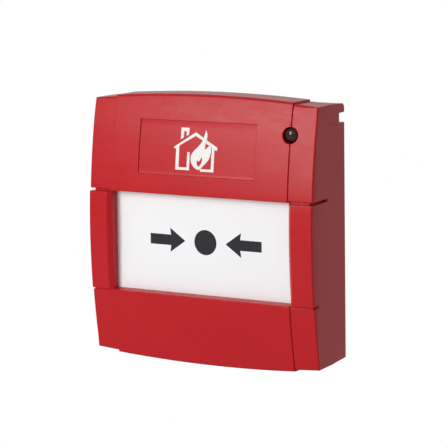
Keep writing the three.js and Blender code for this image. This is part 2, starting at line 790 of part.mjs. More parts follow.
function chassis() {
  const halfX = chassisWidth / 2;
  const halfZ = chassisHeight / 2;
  const tray = sweepY(roundedRectangle(-halfX, halfX, -halfZ, halfZ, cornerRound), [rimFront, chassisBack], 3);
  const room = sweepY(roundedRectangle(-halfX + chassisRim, halfX - chassisRim,
    -halfZ + chassisRim, halfZ - chassisRim, cornerRound - chassisRim), [rimFront - past, chassisFront], 3);
  const bossY = [boardBack + gap, chassisFront + bite];
  const bosses = boardBossPlaces().map(([x, z]) => rodY(screwRadius + bossWall, bossY, x, z));
  const boreY = [rimFront - past, boardFront + boardScrewLength + gap];
  const bores = boardBossPlaces().map(([x, z]) => rodY(screwRadius + gap, boreY, x, z, 16));
  const through = [chassisFront - past, past];
  const screwHoles = chassisScrewPlaces().map(([x, z]) => rodY(screwRadius + gap, through, x, z, 16));
  const clipBoreY = [clipFront, clipFront + clipHeadSink + clipScrewLength + clipScrewRadius];
  const clipBores = [-1, 1].map((side) =>
    rodY(clipScrewRadius + gap, clipBoreY, side * clipScrewX, bearingMiddle(), 16));
  const headRooms = [-1, 1].map((side) => {
    const x = (side * fixingCentres) / 2;
    return sweepY(roundedRectangle(x - fixingHeadWidth / 2, x + fixingHeadWidth / 2,
      -fixingHeadHeight / 2, fixingHeadHeight / 2, 2), through, 2);
  });
  const body = joined([
    tray.subtract(room),
    ...bosses,
    pivotEar(-1),
    pivotEar(1),
    hingeHook(-1),
    hingeHook(1),
    bearingBlock([barrelY, chassisFront + bite]),
  ]);
  return cutBy(body, [cableEntry(through), ...bores, ...screwHoles, ...clipBores, ...headRooms]);
}

function bearingMiddle() {
  return (bearingBottom + bearingTop) / 2;
}

function boardBossPlaces() {
  return [
    [-boardScrewX, boardScrewZ],
    [boardScrewX, boardScrewZ],
    [-bridgeScrewX, bridgeScrewZ],
    [bridgeScrewX, bridgeScrewZ],
  ];
}

// Circuit board and what it carries

const leadRadius = 0.3;
const leadHole = leadRadius + gap;
const leadPast = 0.6; // the leads stand this far out of the back of the board
const leadEnd = boardBack + leadPast;
const axialLead = 4.4; // middle of the body to each lead
const axialX = axialInset - boardWidth / 2;
const axialTop = windowTop - axialDrop;
const capacitorX = -10;
const capacitorZ = boardTop - capacitorDrop;
const capacitorRadius = 2.5;
const capacitorLength = 4;
const capacitorLead = 1;
const lampBodyRadius = 1.5;
const lampBodyLength = 3.8;
const lampFlange = 0.4;
const lampTipGap = 0.45; // between the lamp and the lens
const lampFlangeLength = 1;
const lampLead = 1.27;

const axialParts = [
  { name: 'alarm_resistor', radius: resistorRadius, length: resistorLength, material: ceramic },
  { name: 'lamp_resistor', radius: resistorRadius, length: resistorLength, material: ceramic },
  { name: 'diode', radius: diodeRadius, length: diodeLength, material: blackPlastic },
];

function axialZ(i) {
  return axialTop - i * axialPitch;
}

function terminalX(i) {
  return (i - (terminalCount - 1) / 2) * terminalPitch;
}

function terminalMiddle() {
  return (terminalTop + terminalBottom) / 2;
}

function switchPinX(i) {
  return switchLeft + switchLength / 2 + (i - 1) * switchPinPitch;
}

const switchPinZ = switchBottom - switchPinDrop;

function leadPlaces() {
  const places = [
    [capacitorX - capacitorLead, capacitorZ],
    [capacitorX + capacitorLead, capacitorZ],
    [lampX - lampLead, lampZ],
    [lampX + lampLead, lampZ],
  ];
  for (let i = 0; i < axialParts.length; i += 1) {
    places.push([axialX - axialLead, axialZ(i)], [axialX + axialLead, axialZ(i)]);
  }
  for (let i = 0; i < 3; i += 1) places.push([switchPinX(i), switchPinZ]);
  for (let i = 0; i < terminalCount; i += 1) places.push([terminalX(i), terminalMiddle()]);
  return places;
}

function circuitBoard() {
  const half = boardWidth / 2;
  const board = sweepY(roundedRectangle(-half, half, boardBottom, boardTop, 2), [boardFront, boardBack], 2);
  const y = [boardFront - past, boardBack + past];
  const holes = leadPlaces().map(([x, z]) => rodY(leadHole, y, x, z, 8));
  const screwHoles = boardBossPlaces().map(([x, z]) => rodY(screwRadius + gap, y, x, z, 16));
  const [topX, topZ] = chassisScrewPlaces()[2];
  const driverHole = rodY(screwHeadRadius + gap, y, topX, topZ, 16);
  return cutBy(board, [...holes, ...screwHoles, driverHole]);
}

function lead(x, z, yFrom) {
  return rodY(leadRadius, [yFrom, leadEnd], x, z, 8);
}

// A body lying on the board with two bent leads
function axialPart(radius, length) {
  const y = boardFront - gap - radius;
  const reach = axialLead + leadRadius;
  const wire = rodX(leadRadius, [-reach, reach], y, 0, 8);
  const body = rodX(radius, [-length / 2, length / 2], y, 0, 16);
  return joined([body, wire, lead(-axialLead, 0, y), lead(axialLead, 0, y)]);
}

function capacitor() {
  const base = boardFront - gap;
  return joined([
    rodY(capacitorRadius, [base - capacitorLength, base], 0, 0),
    lead(-capacitorLead, 0, base - bite),
    lead(capacitorLead, 0, base - bite),
  ]);
}

// Foot of the lamp, which leaves its tip just behind the lens
function lampBase() {
  const lensBack = lampSeat() + gap + lensFlangeThickness;
  return lensBack + lampTipGap + lampBodyRadius + lampBodyLength;
}

function lampSpacer() {
  const front = lampBase() + gap;
  const tube = rodY(lampBodyRadius + 3 * gap, [front, boardFront - gap], 0, 0);
  const holes = [-1, 1].map((side) => rodY(leadHole, [front - past, 0], side * lampLead, 0, 8));
  return cutBy(tube, holes);
}

function statusLamp() {
  const base = lampBase();
  const dome = new THREE.SphereGeometry(lampBodyRadius, 16, 10);
  dome.translate(0, base - lampBodyLength, 0);
  return joined([
    toSolid(dome),
    rodY(lampBodyRadius, [base - lampBodyLength, base], 0, 0, 16),
    rodY(lampBodyRadius + lampFlange, [base - lampFlangeLength, base], 0, 0, 16),
    lead(-lampLead, 0, base - bite),
    lead(lampLead, 0, base - bite),
  ]);
}

function terminalBlock() {
  const half = (terminalCount * terminalPitch) / 2 + gap;
  const front = boardBack + gap;
  const back = front + terminalDepth;
  const body = block([-half, half], [front, back], [terminalBottom, terminalTop]);
  const room = clampHalf + gap;
  const pinRoom = clampPinHalf + gap;
  const cuts = [];
  for (let i = 0; i < terminalCount; i += 1) {
    const x = terminalX(i);
    const z = terminalMiddle();
    cuts.push(block([x - room, x + room], [front + terminalFloor, back - terminalRoof],
      [terminalBottom - past, terminalTop - terminalFloor * 2]));
    cuts.push(rodY(clampScrewHead + gap, [back - terminalRoof - bite, back + past], x, z, 20));
    cuts.push(block([x - pinRoom, x + pinRoom], [front - past, front + terminalFloor + bite],
      [z - pinRoom, z + pinRoom]));
  }
  return cutBy(body, cuts);
}

// Local origin on the screw's axis at the back face of the board
function terminalClamp() {
  const front = gap + terminalFloor + gap;
  const back = gap + terminalDepth - terminalRoof - gap;
  const cage = block([-clampHalf, clampHalf], [front, back], [-clampHeight / 2, clampHeight / 2]);
  const inner = clampHalf - clampSheet;
  const wireWay = block([-inner, inner], [front + clampSheet, back - clampNut], [-clampHeight, clampHeight]);
  const screwWay = rodY(clampScrewRadius + gap, [back - clampNut - bite, back + past], 0, 0, 12);
  const pin = block([-clampPinHalf, clampPinHalf], [-boardThickness - leadPast, front + clampSheet / 2],
    [-clampPinHalf, clampPinHalf]);
  return cutBy(cage, [wireWay, screwWay]).add(pin);
}

function terminalScrew() {
  const back = gap + terminalDepth - clampHeadSink;
  const head = rodY(clampScrewHead, [back - clampHeadHeight, back], 0, 0, 20);
  const shaft = rodY(clampScrewRadius, [back - clampScrewLength, back - clampHeadHeight / 2], 0, 0, 12);
  const slot = block([-past, past], [back - clampHeadHeight / 2, back + past], [-slotHalf, slotHalf]);
  return head.add(shaft).subtract(slot);
}

// Switch

const leverPivotX = switchLeft + leverInset;
const leverPivotZ = switchTop + gap;
const leverMiddleY = switchBack - switchThickness / 2;
const plungerX = leverPivotX + plungerReach;

function switchBody() {
  const body = block([switchLeft, switchLeft + switchLength], [switchFront, switchBack],
    [switchBottom, switchTop]);
  const y = [leverMiddleY - leverWidth / 2 - gap, leverMiddleY + leverWidth / 2 + gap];
  const cuts = [
    rodY(rolledEnd + gap, y, leverPivotX, leverPivotZ, 16),
    block([plungerX - plungerHalf - gap, plungerX + plungerHalf + gap],
      [leverMiddleY - plungerDeep - gap, leverMiddleY + plungerDeep + gap],
      [switchTop - plungerSink, switchTop + past]),
  ];
  for (let i = 0; i < 3; i += 1) {
    const x = switchPinX(i);
    cuts.push(block([x - pinHalfWidth - gap, x + pinHalfWidth + gap],
      [leverMiddleY - pinHalfSheet - gap, leverMiddleY + pinHalfSheet + gap],
      [switchBottom - past, switchBottom + pinSeat + gap]));
  }
  for (const side of [-1, 1]) {
    const x = switchLeft + switchLength / 2 + (side * switchHolePitch) / 2;
    cuts.push(rodY(switchHoleRadius, [switchFront - past, switchBack + past], x, switchBottom + switchHoleRise, 12));
  }
  return cutBy(body, cuts);
}

// A flat pin out of the switch, bent back through the board
function switchTerminal() {
  const low = switchPinZ - pinHalfSheet;
  const down = block([-pinHalfWidth, pinHalfWidth], [leverMiddleY - pinHalfSheet, leverMiddleY + pinHalfSheet],
    [low, switchBottom + pinSeat]);
  const back = block([-leadRadius, leadRadius], [leverMiddleY, leadEnd], [low, switchPinZ + pinHalfSheet]);
  return down.add(back);
}

function switchPlunger() {
  const rise = Math.tan(THREE.MathUtils.degToRad(leverAngle)) * plungerReach;
  const foot = switchTop - plungerSink + plungerTravel + gap;
  return block([plungerX - plungerHalf, plungerX + plungerHalf],
    [leverMiddleY - plungerDeep, leverMiddleY + plungerDeep],
    [foot, leverPivotZ + rise - leverThickness / 2 - gap]);
}

function switchLever() {
  const y = [-leverWidth / 2, leverWidth / 2];
  const blade = new THREE.BoxGeometry(leverLength, leverWidth, leverThickness);
  blade.translate(leverLength / 2, 0, 0);
  blade.rotateY(-THREE.MathUtils.degToRad(leverAngle));
  return toSolid(blade).add(rodY(rolledEnd, y, 0, 0, 16));
}

// Element and its carrier, which tilt together about the pivot pin

function pegPlaces() {
  return [-1, 1].flatMap((side) => [
    [side * (carrierWidth / 2 - pegTopInset), elementTop - pegDrop],
    [side * (carrierWidth / 2 - pegBottomInset), elementBottom + pegRise],
  ]);
}

function operatingElement() {
  const half = elementWidth / 2;
  const plate = sweepY(roundedRectangle(-half, half, elementBottom, elementTop, elementRound),
    [elementFront, elementBack], 4);
  const pegs = pegPlaces().map(([x, z]) =>
    rodY(pegRadius, [elementBack - bite, carrierBack + pegProud], x, z, 20));
  return joined([plate, ...pegs]);
}

function rampAt(y) {
  return rampFoot + rampSlope * (y - legFront);
}

function rampOutline() {
  const lowY = carrierFront;
  const highY = legBack + rampLip;
  const lowZ = rampAt(lowY);
  const highZ = rampAt(highY);
  return shapeOf([
    [lowY, lowZ - rampRoot],
    [carrierBack, lowZ - rampRoot],
    [highY, lowZ],
    [highY, highZ],
    [lowY, lowZ],
  ]);
}

function carrierRibs(top) {
  const half = carrierWidth / 2;
  const y = [carrierBack - gap, carrierBack + carrierRib];
  const bottom = pivotZ + pivotSleeveRadius + ribWidth;
  const rib = (left) => block([left, left + ribWidth], y, [bottom, top]);
  return [
    rib(-half),
    rib(half - ribWidth),
    ...ribPlaces.map((x) => rib(x - ribWidth / 2)),
    block([-half, half], y, [bottom, bottom + ribWidth]),
  ];
}

// A short arm behind the pivot, which the cam of the reset barrel lifts
function carrierTail() {
  return block([-tailWidth / 2, tailWidth / 2], [pivotY + pivotPinRadius + 2 * gap, barrelY + camReach],
    [pivotZ - tailDrop, pivotZ + tailTop]);
}

function elementCarrier() {
  const half = carrierWidth / 2;
  const top = elementTop - carrierTopInset;
  const plate = block([-half, half], [carrierFront, carrierBack], [pivotZ, top]);
  const sleeveX = [-half - sleeveReach, half + sleeveReach];
  const sleeve = rodX(pivotSleeveRadius, sleeveX, pivotY, pivotZ);
  const deep = [carrierFront - past, carrierBack + past];
  const cuts = [
    rodX(pivotPinRadius + gap, [-half - past, half + past], pivotY, pivotZ),
    block([switchLeft - switchRoom, switchLeft + switchLength + switchRoom], deep,
      [switchPinZ, top + past]),
    ...pegPlaces().map(([x, z]) => rodY(pegRadius + gap, deep, x, z, 20)),
  ];
  const notchHalf = legWidth / 2 + 2 * gap;
  const rampHalf = notchHalf + rampSide;
  const notchBottomZ = rampAt(carrierFront) - rampRoot / 3;
  const ramps = [];
  for (const side of [-1, 1]) {
    const x = side * legX;
    cuts.push(block([x - notchHalf, x + notchHalf], deep, [notchBottomZ, top + past]));
    ramps.push(sweepX(rampOutline(), [x - rampHalf, x + rampHalf]));
  }
  const body = cutBy(joined([plate, ...carrierRibs(top), sleeve]), cuts);
  return joined([body, ...ramps, carrierTail()]);
}

// Flag

function flagLeg(side) {
  const footGap = gap * Math.hypot(1, rampSlope);
  const x = side * legX;
  const outline = shapeOf([
    [legFront, flagWebTop - bite],
    [legFront, rampAt(legFront) + footGap],
    [legBack, rampAt(legBack) + footGap],
    [legBack, flagWebTop - bite],
  ]);
  return sweepX(outline, [x - legWidth / 2, x + legWidth / 2]);
}

function operatedFlag() {
  const half = flagWidth / 2;
  const webBottom = flagWebTop - flagWebThickness;
  const across = [-half, half];
  const tongueX = [leverPivotX + tongueEnd - tongueWidth, leverPivotX + tongueEnd];
  const leverY = [leverMiddleY - leverWidth / 2, leverMiddleY + leverWidth / 2];
  const stems = [-1, 1].map((side) => rodZ(stemRadius, [webBottom, stemTop], side * stemX, stemY, 20));
  return joined([
    block(across, [flagFront, flagBack], [flagBottom, flagWebTop]),
    block(across, [flagFront, legBack], [webBottom, flagWebTop]),
    block(tongueX, [legBack - bite, leverY[1]], [webBottom, flagWebTop]),
    block(tongueX, leverY, [tongueBottom(), flagWebTop]),
    flagLeg(-1),
    flagLeg(1),
    ...stems,
  ]);
}

// Low enough to meet the pressed lever when the flag is down
function tongueBottom() {
  const pressed = THREE.MathUtils.degToRad(leverAngle - leverTilt);
  const rise = tongueEnd * Math.tan(pressed);
  return leverPivotZ + rise + leverThickness / 2 + gap + flagDrop;
}

function flagBridge() {
  const half = bridgeScrewX + footHalf;
  const top = bridgeBottom + bridgeThickness;
  const back = boardFront - gap;
  const footFront = back - footThickness;
  const shelf = block([-half, half], [bridgeFront, back], [bridgeBottom, top]);
  const parts = [shelf];
  const deep = [bridgeBottom - past, top + past];
  const middle = stemX - bridgeLip * 2;
  const cuts = [block([-middle, middle], [bridgeFront - past, back - bridgeBar], deep)];
  for (const side of [-1, 1]) {
    const x = side * bridgeScrewX;
    const ribTop = top + bridgeRibHeight;
    const rib = shapeOf([[stemY, top - bite], [footFront + bite, top - bite], [footFront + bite, ribTop]]);
    const outer = side * (bridgeScrewX - footHalf);
    const inner = outer - side * bridgeRibWidth;
    const ribX = [Math.min(inner, outer), Math.max(inner, outer)];
    parts.push(block([x - footHalf, x + footHalf], [footFront, back], [top - bite, bridgeScrewZ + footTop]));
    parts.push(sweepX(rib, ribX));
    parts.push(block([ribX[0] - bite, ribX[1] + bite], [footFront, back], [top - bite, ribTop]));
    cuts.push(rodY(screwRadius + gap, [footFront - past, back + past], x, bridgeScrewZ, 16));
    cuts.push(rodZ(stemRadius + gap, deep, side * stemX, stemY, 20));
  }
  return cutBy(joined(parts), cuts);
}

function flagSpring() {
  return coilSpring(stemRadius + gap + flagWire / 2, flagWire, flagSpringTurns,
    flagWebTop + gap, bridgeBottom - gap);
}

// Reset barrel, its clip and its spring

function resetBarrel() {
  const camZ = [camTop - camThickness, camTop];
  const cam = joined([
    rodZ(camHub, camZ, 0, 0),
    block([0, camReach - camNose], [-camNose, camNose], camZ),
    rodZ(camNose, [camZ[0], camTop + camPad], camReach - camNose, 0, 16),
  ]);
  const body = joined([
    rodZ(barrelRadius, [barrelBottom, bearingTop + gap + collarHeight / 2], 0, 0, 32),
    rodZ(barrelRadius + collarRim, [bearingTop + gap, collarTop], 0, 0, 32),
    rodZ(spigotRadius, [collarTop - collarHeight / 2, camTop], 0, 0),
    cam,
  ]);
  const keySlot = block([-keySlotLength / 2, keySlotLength / 2], [-keySlotWidth / 2, keySlotWidth / 2],
    [barrelBottom - past, barrelBottom + keySlotDepth]);
  return body.subtract(keySlot);
}

function barrelClip() {
  const x = bearingWidth / 2;
  const clip = block([-x, x], [clipFront, barrelY - gap], [bearingBottom, bearingTop])
    .subtract(rodZ(barrelRadius + gap, [bearingBottom - past, bearingTop + past], 0, barrelY, 32));
  const cuts = [];
  for (const side of [-1, 1]) {
    cuts.push(rodY(clipScrewRadius + gap, [clipFront - past, barrelY], side * clipScrewX, bearingMiddle(), 16));
    cuts.push(rodY(clipHeadRadius + gap, [clipFront - past, clipFront + clipHeadSink],
      side * clipScrewX, bearingMiddle(), 20));
  }
  return cutBy(clip, cuts);
}

function resetSpring() {
  return coilSpring(spigotRadius + gap + resetWire / 2, resetWire, resetSpringTurns,
    collarTop + gap, camTop - camThickness - gap);
}

// Screws: local origin on the face that the head rests on, the shaft runs along +Y

function panScrew(length, radius = screwRadius, headRadius = screwHeadRadius, headHeight = screwHeadHeight) {
  const head = rodY(headRadius, [-gap - headHeight, -gap], 0, 0, 16);
  const shaft = rodY(radius, [-gap - headHeight / 4, length], 0, 0, 12);
  const reach = headRadius * 0.6;
  const y = [-gap - headHeight - past, -gap - headHeight / 2];
  const cross = [
    block([-reach, reach], y, [-slotHalf, slotHalf]),
    block([-slotHalf, slotHalf], y, [-reach, reach]),
  ];
  return cutBy(head.add(shaft), cross);
}

// Assembly

function coverGroup() {
  const group = new THREE.Group();
  group.add(makePiece('front_cover', frontCover(), redPlastic));
  group.add(makePiece('lamp_lens', lampLens(), lensPlastic));
  return group;
}

function boardGroup() {
  const group = new THREE.Group();
  group.add(makePiece('circuit_board', circuitBoard(), boardGreen));
  axialParts.forEach((part, i) => {
    group.add(makePiece(part.name, axialPart(part.radius, part.length), part.material, [axialX, 0, axialZ(i)]));
  });
  group.add(makePiece('capacitor', capacitor(), blackPlastic, [capacitorX, 0, capacitorZ]));
  group.add(makePiece('lamp_spacer', lampSpacer(), blackPlastic, [lampX, 0, lampZ]));
  group.add(makePiece('status_lamp', statusLamp(), clearRed, [lampX, 0, lampZ]));
  group.add(makePiece('terminal_block', terminalBlock(), terminalGreen));
  for (let i = 0; i < terminalCount; i += 1) {
    const place = [terminalX(i), boardBack, terminalMiddle()];
    group.add(makePiece(`terminal_clamp_${i + 1}`, terminalClamp(), brass, place));
    group.add(makePiece(`terminal_screw_${i + 1}`, terminalScrew(), steel, place));
  }
  group.add(makePiece('switch_body', switchBody(), blackPlastic));
  for (let i = 0; i < 3; i += 1) {
    group.add(makePiece(`switch_terminal_${i + 1}`, switchTerminal(), brass, [switchPinX(i), 0, 0]));
  }
  group.add(makePiece('switch_plunger', switchPlunger(), redPlastic));
  group.add(makePiece('switch_lever', switchLever(), steel, [leverPivotX, leverMiddleY, leverPivotZ]));
  return group;
}

function elementGroup() {
  const group = new THREE.Group();
  group.add(makePiece('operating_element', operatingElement(), whitePlastic));
  group.add(makePiece('element_carrier', elementCarrier(), greyPlastic));
  const half = earInner() + earWidth;
  group.add(makePiece('pivot_pin', rodX(pivotPinRadius, [-half, half], pivotY, pivotZ, 16), steel));
  return group;
}

function flagGroup() {
  const group = new THREE.Group();
  group.add(makePiece('operated_flag', operatedFlag(), yellowPlastic));
  group.add(makePiece('flag_bridge', flagBridge(), greyPlastic));
  group.add(makePiece('flag_spring_left', flagSpring(), steel, [-stemX, stemY, 0]));
  group.add(makePiece('flag_spring_right', flagSpring(), steel, [stemX, stemY, 0]));
  return group;
}

function resetGroup() {
  const group = new THREE.Group();
  group.position.set(0, barrelY, 0);
  group.add(makePiece('reset_barrel', resetBarrel(), blackPlastic));
  group.add(makePiece('reset_spring', resetSpring(), steel));
  return group;
}

function fastenerGroup() {
  const group = new THREE.Group();
  for (const [side, hand] of [[-1, 'left'], [1, 'right']]) {
    group.add(makePiece(`board_screw_${hand}`, panScrew(boardScrewLength), steel,
      [side * boardScrewX, boardFront, boardScrewZ]));
    group.add(makePiece(`bridge_screw_${hand}`, panScrew(boardScrewLength + footThickness), steel,
      [side * bridgeScrewX, boardFront - gap - footThickness, bridgeScrewZ]));
    group.add(makePiece(`clip_screw_${hand}`,
      panScrew(clipScrewLength, clipScrewRadius, clipHeadRadius, clipHeadHeight), steel,
      [side * clipScrewX, clipFront + clipHeadSink, bearingMiddle()]));
  }
  const names = ['left', 'right', 'top'];
  chassisScrewPlaces().forEach(([x, z], i) => {
    group.add(makePiece(`chassis_screw_${names[i]}`, panScrew(chassisFloor + plateThickness), steel,
      [x, chassisFront, z]));
  });
  return group;
}

const callPoint = new THREE.Group();
callPoint.add(coverGroup());
callPoint.add(makePiece('mounting_plate', mountingPlate(), greyPlastic));
callPoint.add(makePiece('chassis', chassis(), blackPlastic));
callPoint.add(makePiece('barrel_clip', barrelClip(), blackPlastic));
callPoint.add(boardGroup(), elementGroup(), flagGroup(), resetGroup(), fastenerGroup());

export default callPoint;
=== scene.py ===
import math

import bmesh
import bpy
from mathutils import Matrix, Vector
from mathutils.bvhtree import BVHTree


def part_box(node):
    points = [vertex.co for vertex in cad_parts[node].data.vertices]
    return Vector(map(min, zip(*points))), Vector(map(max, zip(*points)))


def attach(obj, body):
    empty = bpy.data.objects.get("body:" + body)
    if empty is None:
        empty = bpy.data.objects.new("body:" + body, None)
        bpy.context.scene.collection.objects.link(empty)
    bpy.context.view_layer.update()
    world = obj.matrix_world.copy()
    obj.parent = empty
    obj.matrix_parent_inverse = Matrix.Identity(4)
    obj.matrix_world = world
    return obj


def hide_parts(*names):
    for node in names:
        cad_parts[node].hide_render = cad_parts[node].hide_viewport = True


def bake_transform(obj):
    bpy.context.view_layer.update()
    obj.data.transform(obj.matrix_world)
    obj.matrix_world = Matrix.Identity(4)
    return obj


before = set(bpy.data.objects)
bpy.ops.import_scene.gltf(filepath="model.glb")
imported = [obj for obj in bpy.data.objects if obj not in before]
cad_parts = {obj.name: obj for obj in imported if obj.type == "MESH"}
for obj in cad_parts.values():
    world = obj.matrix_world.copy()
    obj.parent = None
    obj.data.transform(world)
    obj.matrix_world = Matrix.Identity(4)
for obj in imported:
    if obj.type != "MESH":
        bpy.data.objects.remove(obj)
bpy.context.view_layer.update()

# Manual call point with a resettable element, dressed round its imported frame.
# Metres throughout; X right, Y back to the wall, Z up.

scene = bpy.context.scene
mm = 0.001
print("frame loaded:", len(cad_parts), "nodes")


# Camera, lamps and floor

shot = {
    "azimuth": 30.129,
    "elevation": 9.008,
    "roll": -0.702,
    "distance": 0.7564,
    "aim": (0.003, -0.014, 0.0016),
    "lens": 175.96,
}


def directionTo(azimuth, elevation):
    across, up = math.radians(azimuth), math.radians(elevation)
    return Vector((math.sin(across) * math.cos(up), -math.cos(across) * math.cos(up), math.sin(up)))


def placeCamera():
    camera = bpy.data.cameras.new("studioCamera")
    camera.lens = shot["lens"]
    stand = bpy.data.objects.new("studioCamera", camera)
    away = directionTo(shot["azimuth"], shot["elevation"])
    turn = (-away).to_track_quat("-Z", "Y").to_matrix()
    turn = turn @ Matrix.Rotation(math.radians(shot["roll"]), 3, "Z")
    stand.matrix_world = turn.to_4x4()
    stand.location = Vector(shot["aim"]) + away * shot["distance"]
    scene.collection.objects.link(stand)
    scene.camera = stand


studio = {
    "lamps": [  # azimuth, elevation, distance, width, height, power
        ("keyPanel", -18.5, 17, 0.7, 0.2, 0.36, 2.34),
        ("sheenPanel", -30, 17, 0.8, 0.03, 0.03, 0.3),
        ("glintPanel", 5, 17, 0.8, 0.09, 0.06, 0.38),
    ],
    "worldLight": 0.31,
    "worldMirror": 0.7,  # brightness of the room in the gloss
    "floorMirror": 0.5,  # share of white that the far paper has in the gloss
    "floorDrop": -0.12,
    "floorRadius": 3.0,
    "floorTone": 0.8,
    "floorLift": 0.4,  # light that the straight view adds to the paper near the object
    "fadeFrom": 0.05,
    "fadeTo": 0.14,
}


def placeLamps():
    for name, azimuth, elevation, distance, width, height, power in studio["lamps"]:
        lamp = bpy.data.lights.new(name, "AREA")
        lamp.shape = "RECTANGLE"
        lamp.size, lamp.size_y = width, height
        lamp.energy = power
        stand = bpy.data.objects.new(name, lamp)
        away = directionTo(azimuth, elevation)
        stand.location = away * distance
        stand.rotation_euler = (-away).to_track_quat("-Z", "Y").to_euler()
        stand.visible_camera = False
        scene.collection.objects.link(stand)


# Shader helpers


def put(tree, kind, inputs=None, **settings):
    node = tree.nodes.new(kind)
    for name, value in settings.items():
        setattr(node, name, value)
    for name, value in (inputs or {}).items():
        socket = node.inputs[name]
        if isinstance(value, bpy.types.NodeSocket):
            tree.links.new(value, socket)
        else:
            socket.default_value = value
    return node


def calc(tree, operation, first, second=0.0, third=0.0, clamp=False):
    node = put(tree, "ShaderNodeMath", {0: first, 1: second, 2: third}, operation=operation)
    node.use_clamp = clamp
    return node.outputs[0]


def spread(tree, value, low, high, fromLow=0.0, fromHigh=1.0):
    node = put(tree, "ShaderNodeMapRange", {
        "Value": value, "From Min": fromLow, "From Max": fromHigh, "To Min": low, "To Max": high})
    return node.outputs["Result"]


def blendColour(tree, factor, first, second, mode="MIX"):
    node = tree.nodes.new("ShaderNodeMix")
    node.data_type = "RGBA"
    node.blend_type = mode
    for socket, value in ((node.inputs[0], factor), (node.inputs[6], first), (node.inputs[7], second)):
        if isinstance(value, bpy.types.NodeSocket):
            tree.links.new(value, socket)
        elif isinstance(value, (tuple, list)):
            socket.default_value = (*value[:3], 1.0)
        else:
            socket.default_value = value
    return node.outputs[2]


def seenStraight(tree):
    path = put(tree, "ShaderNodeLightPath")
    return calc(tree, "MAXIMUM", path.outputs["Is Camera Ray"], path.outputs["Is Transmission Ray"])


def lightWorld():
    world = bpy.data.worlds.new("studioWorld")
    scene.world = world
    world.use_nodes = True
    tree = world.node_tree
    tree.nodes.clear()
    strength = spread(tree, seenStraight(tree), studio["worldLight"], 1.0)
    mirrored = put(tree, "ShaderNodeLightPath").outputs["Is Glossy Ray"]
    more = studio["worldMirror"] - studio["worldLight"]
    strength = calc(tree, "MULTIPLY_ADD", mirrored, more, strength)
    sky = put(tree, "ShaderNodeBackground", {"Color": (1, 1, 1, 1), "Strength": strength})
    put(tree, "ShaderNodeOutputWorld", {"Surface": sky.outputs[0]})


def layFloor():
    bm = bmesh.new()
    bmesh.ops.create_circle(bm, cap_ends=True, segments=96, radius=studio["floorRadius"])
    bmesh.ops.translate(bm, vec=(0, 0, studio["floorDrop"]), verts=bm.verts)
    mesh = bpy.data.meshes.new("studioFloor")
    bm.to_mesh(mesh)
    bm.free()
    floor = bpy.data.objects.new("studioFloor", mesh)
    scene.collection.objects.link(floor)
    paper = bpy.data.materials.new("floorPaper")
    paper.use_nodes = True
    tree = paper.node_tree
    tree.nodes.clear()
    where = put(tree, "ShaderNodeTexCoord").outputs["Object"]
    parts = put(tree, "ShaderNodeSeparateXYZ", {0: where})
    flat = put(tree, "ShaderNodeCombineXYZ", {"X": parts.outputs["X"], "Y": parts.outputs["Y"]})
    reach = put(tree, "ShaderNodeVectorMath", {0: flat.outputs[0]}, operation="LENGTH").outputs["Value"]
    fade = put(tree, "ShaderNodeMapRange", {
        "Value": reach, "From Min": studio["fadeFrom"], "From Max": studio["fadeTo"]},
        interpolation_type="SMOOTHSTEP").outputs["Result"]
    seen = seenStraight(tree)
    matt = put(tree, "ShaderNodeBsdfDiffuse", {"Color": (studio["floorTone"],) * 3 + (1,)})
    lift = put(tree, "ShaderNodeEmission", {
        "Color": (1, 1, 1, 1), "Strength": calc(tree, "MULTIPLY", seen, studio["floorLift"])})
    paperShade = put(tree, "ShaderNodeAddShader", {0: matt.outputs[0], 1: lift.outputs[0]})
    plain = put(tree, "ShaderNodeEmission", {"Color": (1, 1, 1, 1), "Strength": 1.0})
    mirrored = put(tree, "ShaderNodeLightPath").outputs["Is Glossy Ray"]
    white = calc(tree, "MAXIMUM", seen, calc(tree, "MULTIPLY", mirrored, studio["floorMirror"]))
    share = calc(tree, "MULTIPLY", fade, white)
    both = put(tree, "ShaderNodeMixShader", {0: share, 1: paperShade.outputs[0], 2: plain.outputs[0]})
    put(tree, "ShaderNodeOutputMaterial", {"Surface": both.outputs[0]})
    mesh.materials.append(paper)


scene.view_settings.view_transform = "Standard"
placeCamera()
placeLamps()
lightWorld()
layFloor()
print("studio ready")


# Shared shader groups


def startGroup(name, inputs, outputs):
    tree = bpy.data.node_groups.new(name, "ShaderNodeTree")
    for label, kind, value in inputs:
        socket = tree.interface.new_socket(label, in_out="INPUT", socket_type=kind)
        socket.default_value = value
    for label, kind in outputs:
        tree.interface.new_socket(label, in_out="OUTPUT", socket_type=kind)
    return tree, tree.nodes.new("NodeGroupInput").outputs, tree.nodes.new("NodeGroupOutput")


def makeMouldGrain():  # the fine bite that the tool leaves in moulded plastic
    tree, given, out = startGroup("mouldGrain", [("Scale", "NodeSocketFloat", 2600.0)],
                                  [("Height", "NodeSocketFloat"), ("Speck", "NodeSocketFloat")])
    where = put(tree, "ShaderNodeTexCoord").outputs["Object"]
    fine = put(tree, "ShaderNodeTexNoise", {
        "Vector": where, "Scale": given["Scale"], "Detail": 3.0, "Roughness": 0.6}).outputs[0]
    broadScale = calc(tree, "MULTIPLY", given["Scale"], 0.17)
    broad = put(tree, "ShaderNodeTexNoise", {
        "Vector": where, "Scale": broadScale, "Detail": 2.0}).outputs[0]
    height = calc(tree, "MULTIPLY_ADD", broad, 0.35, fine)
    specks = put(tree, "ShaderNodeTexVoronoi", {"Vector": where, "Scale": broadScale}).outputs["Distance"]
    tree.links.new(height, out.inputs["Height"])
    tree.links.new(spread(tree, specks, 1.0, 0.0, 0.05, 0.35), out.inputs["Speck"])
    return tree


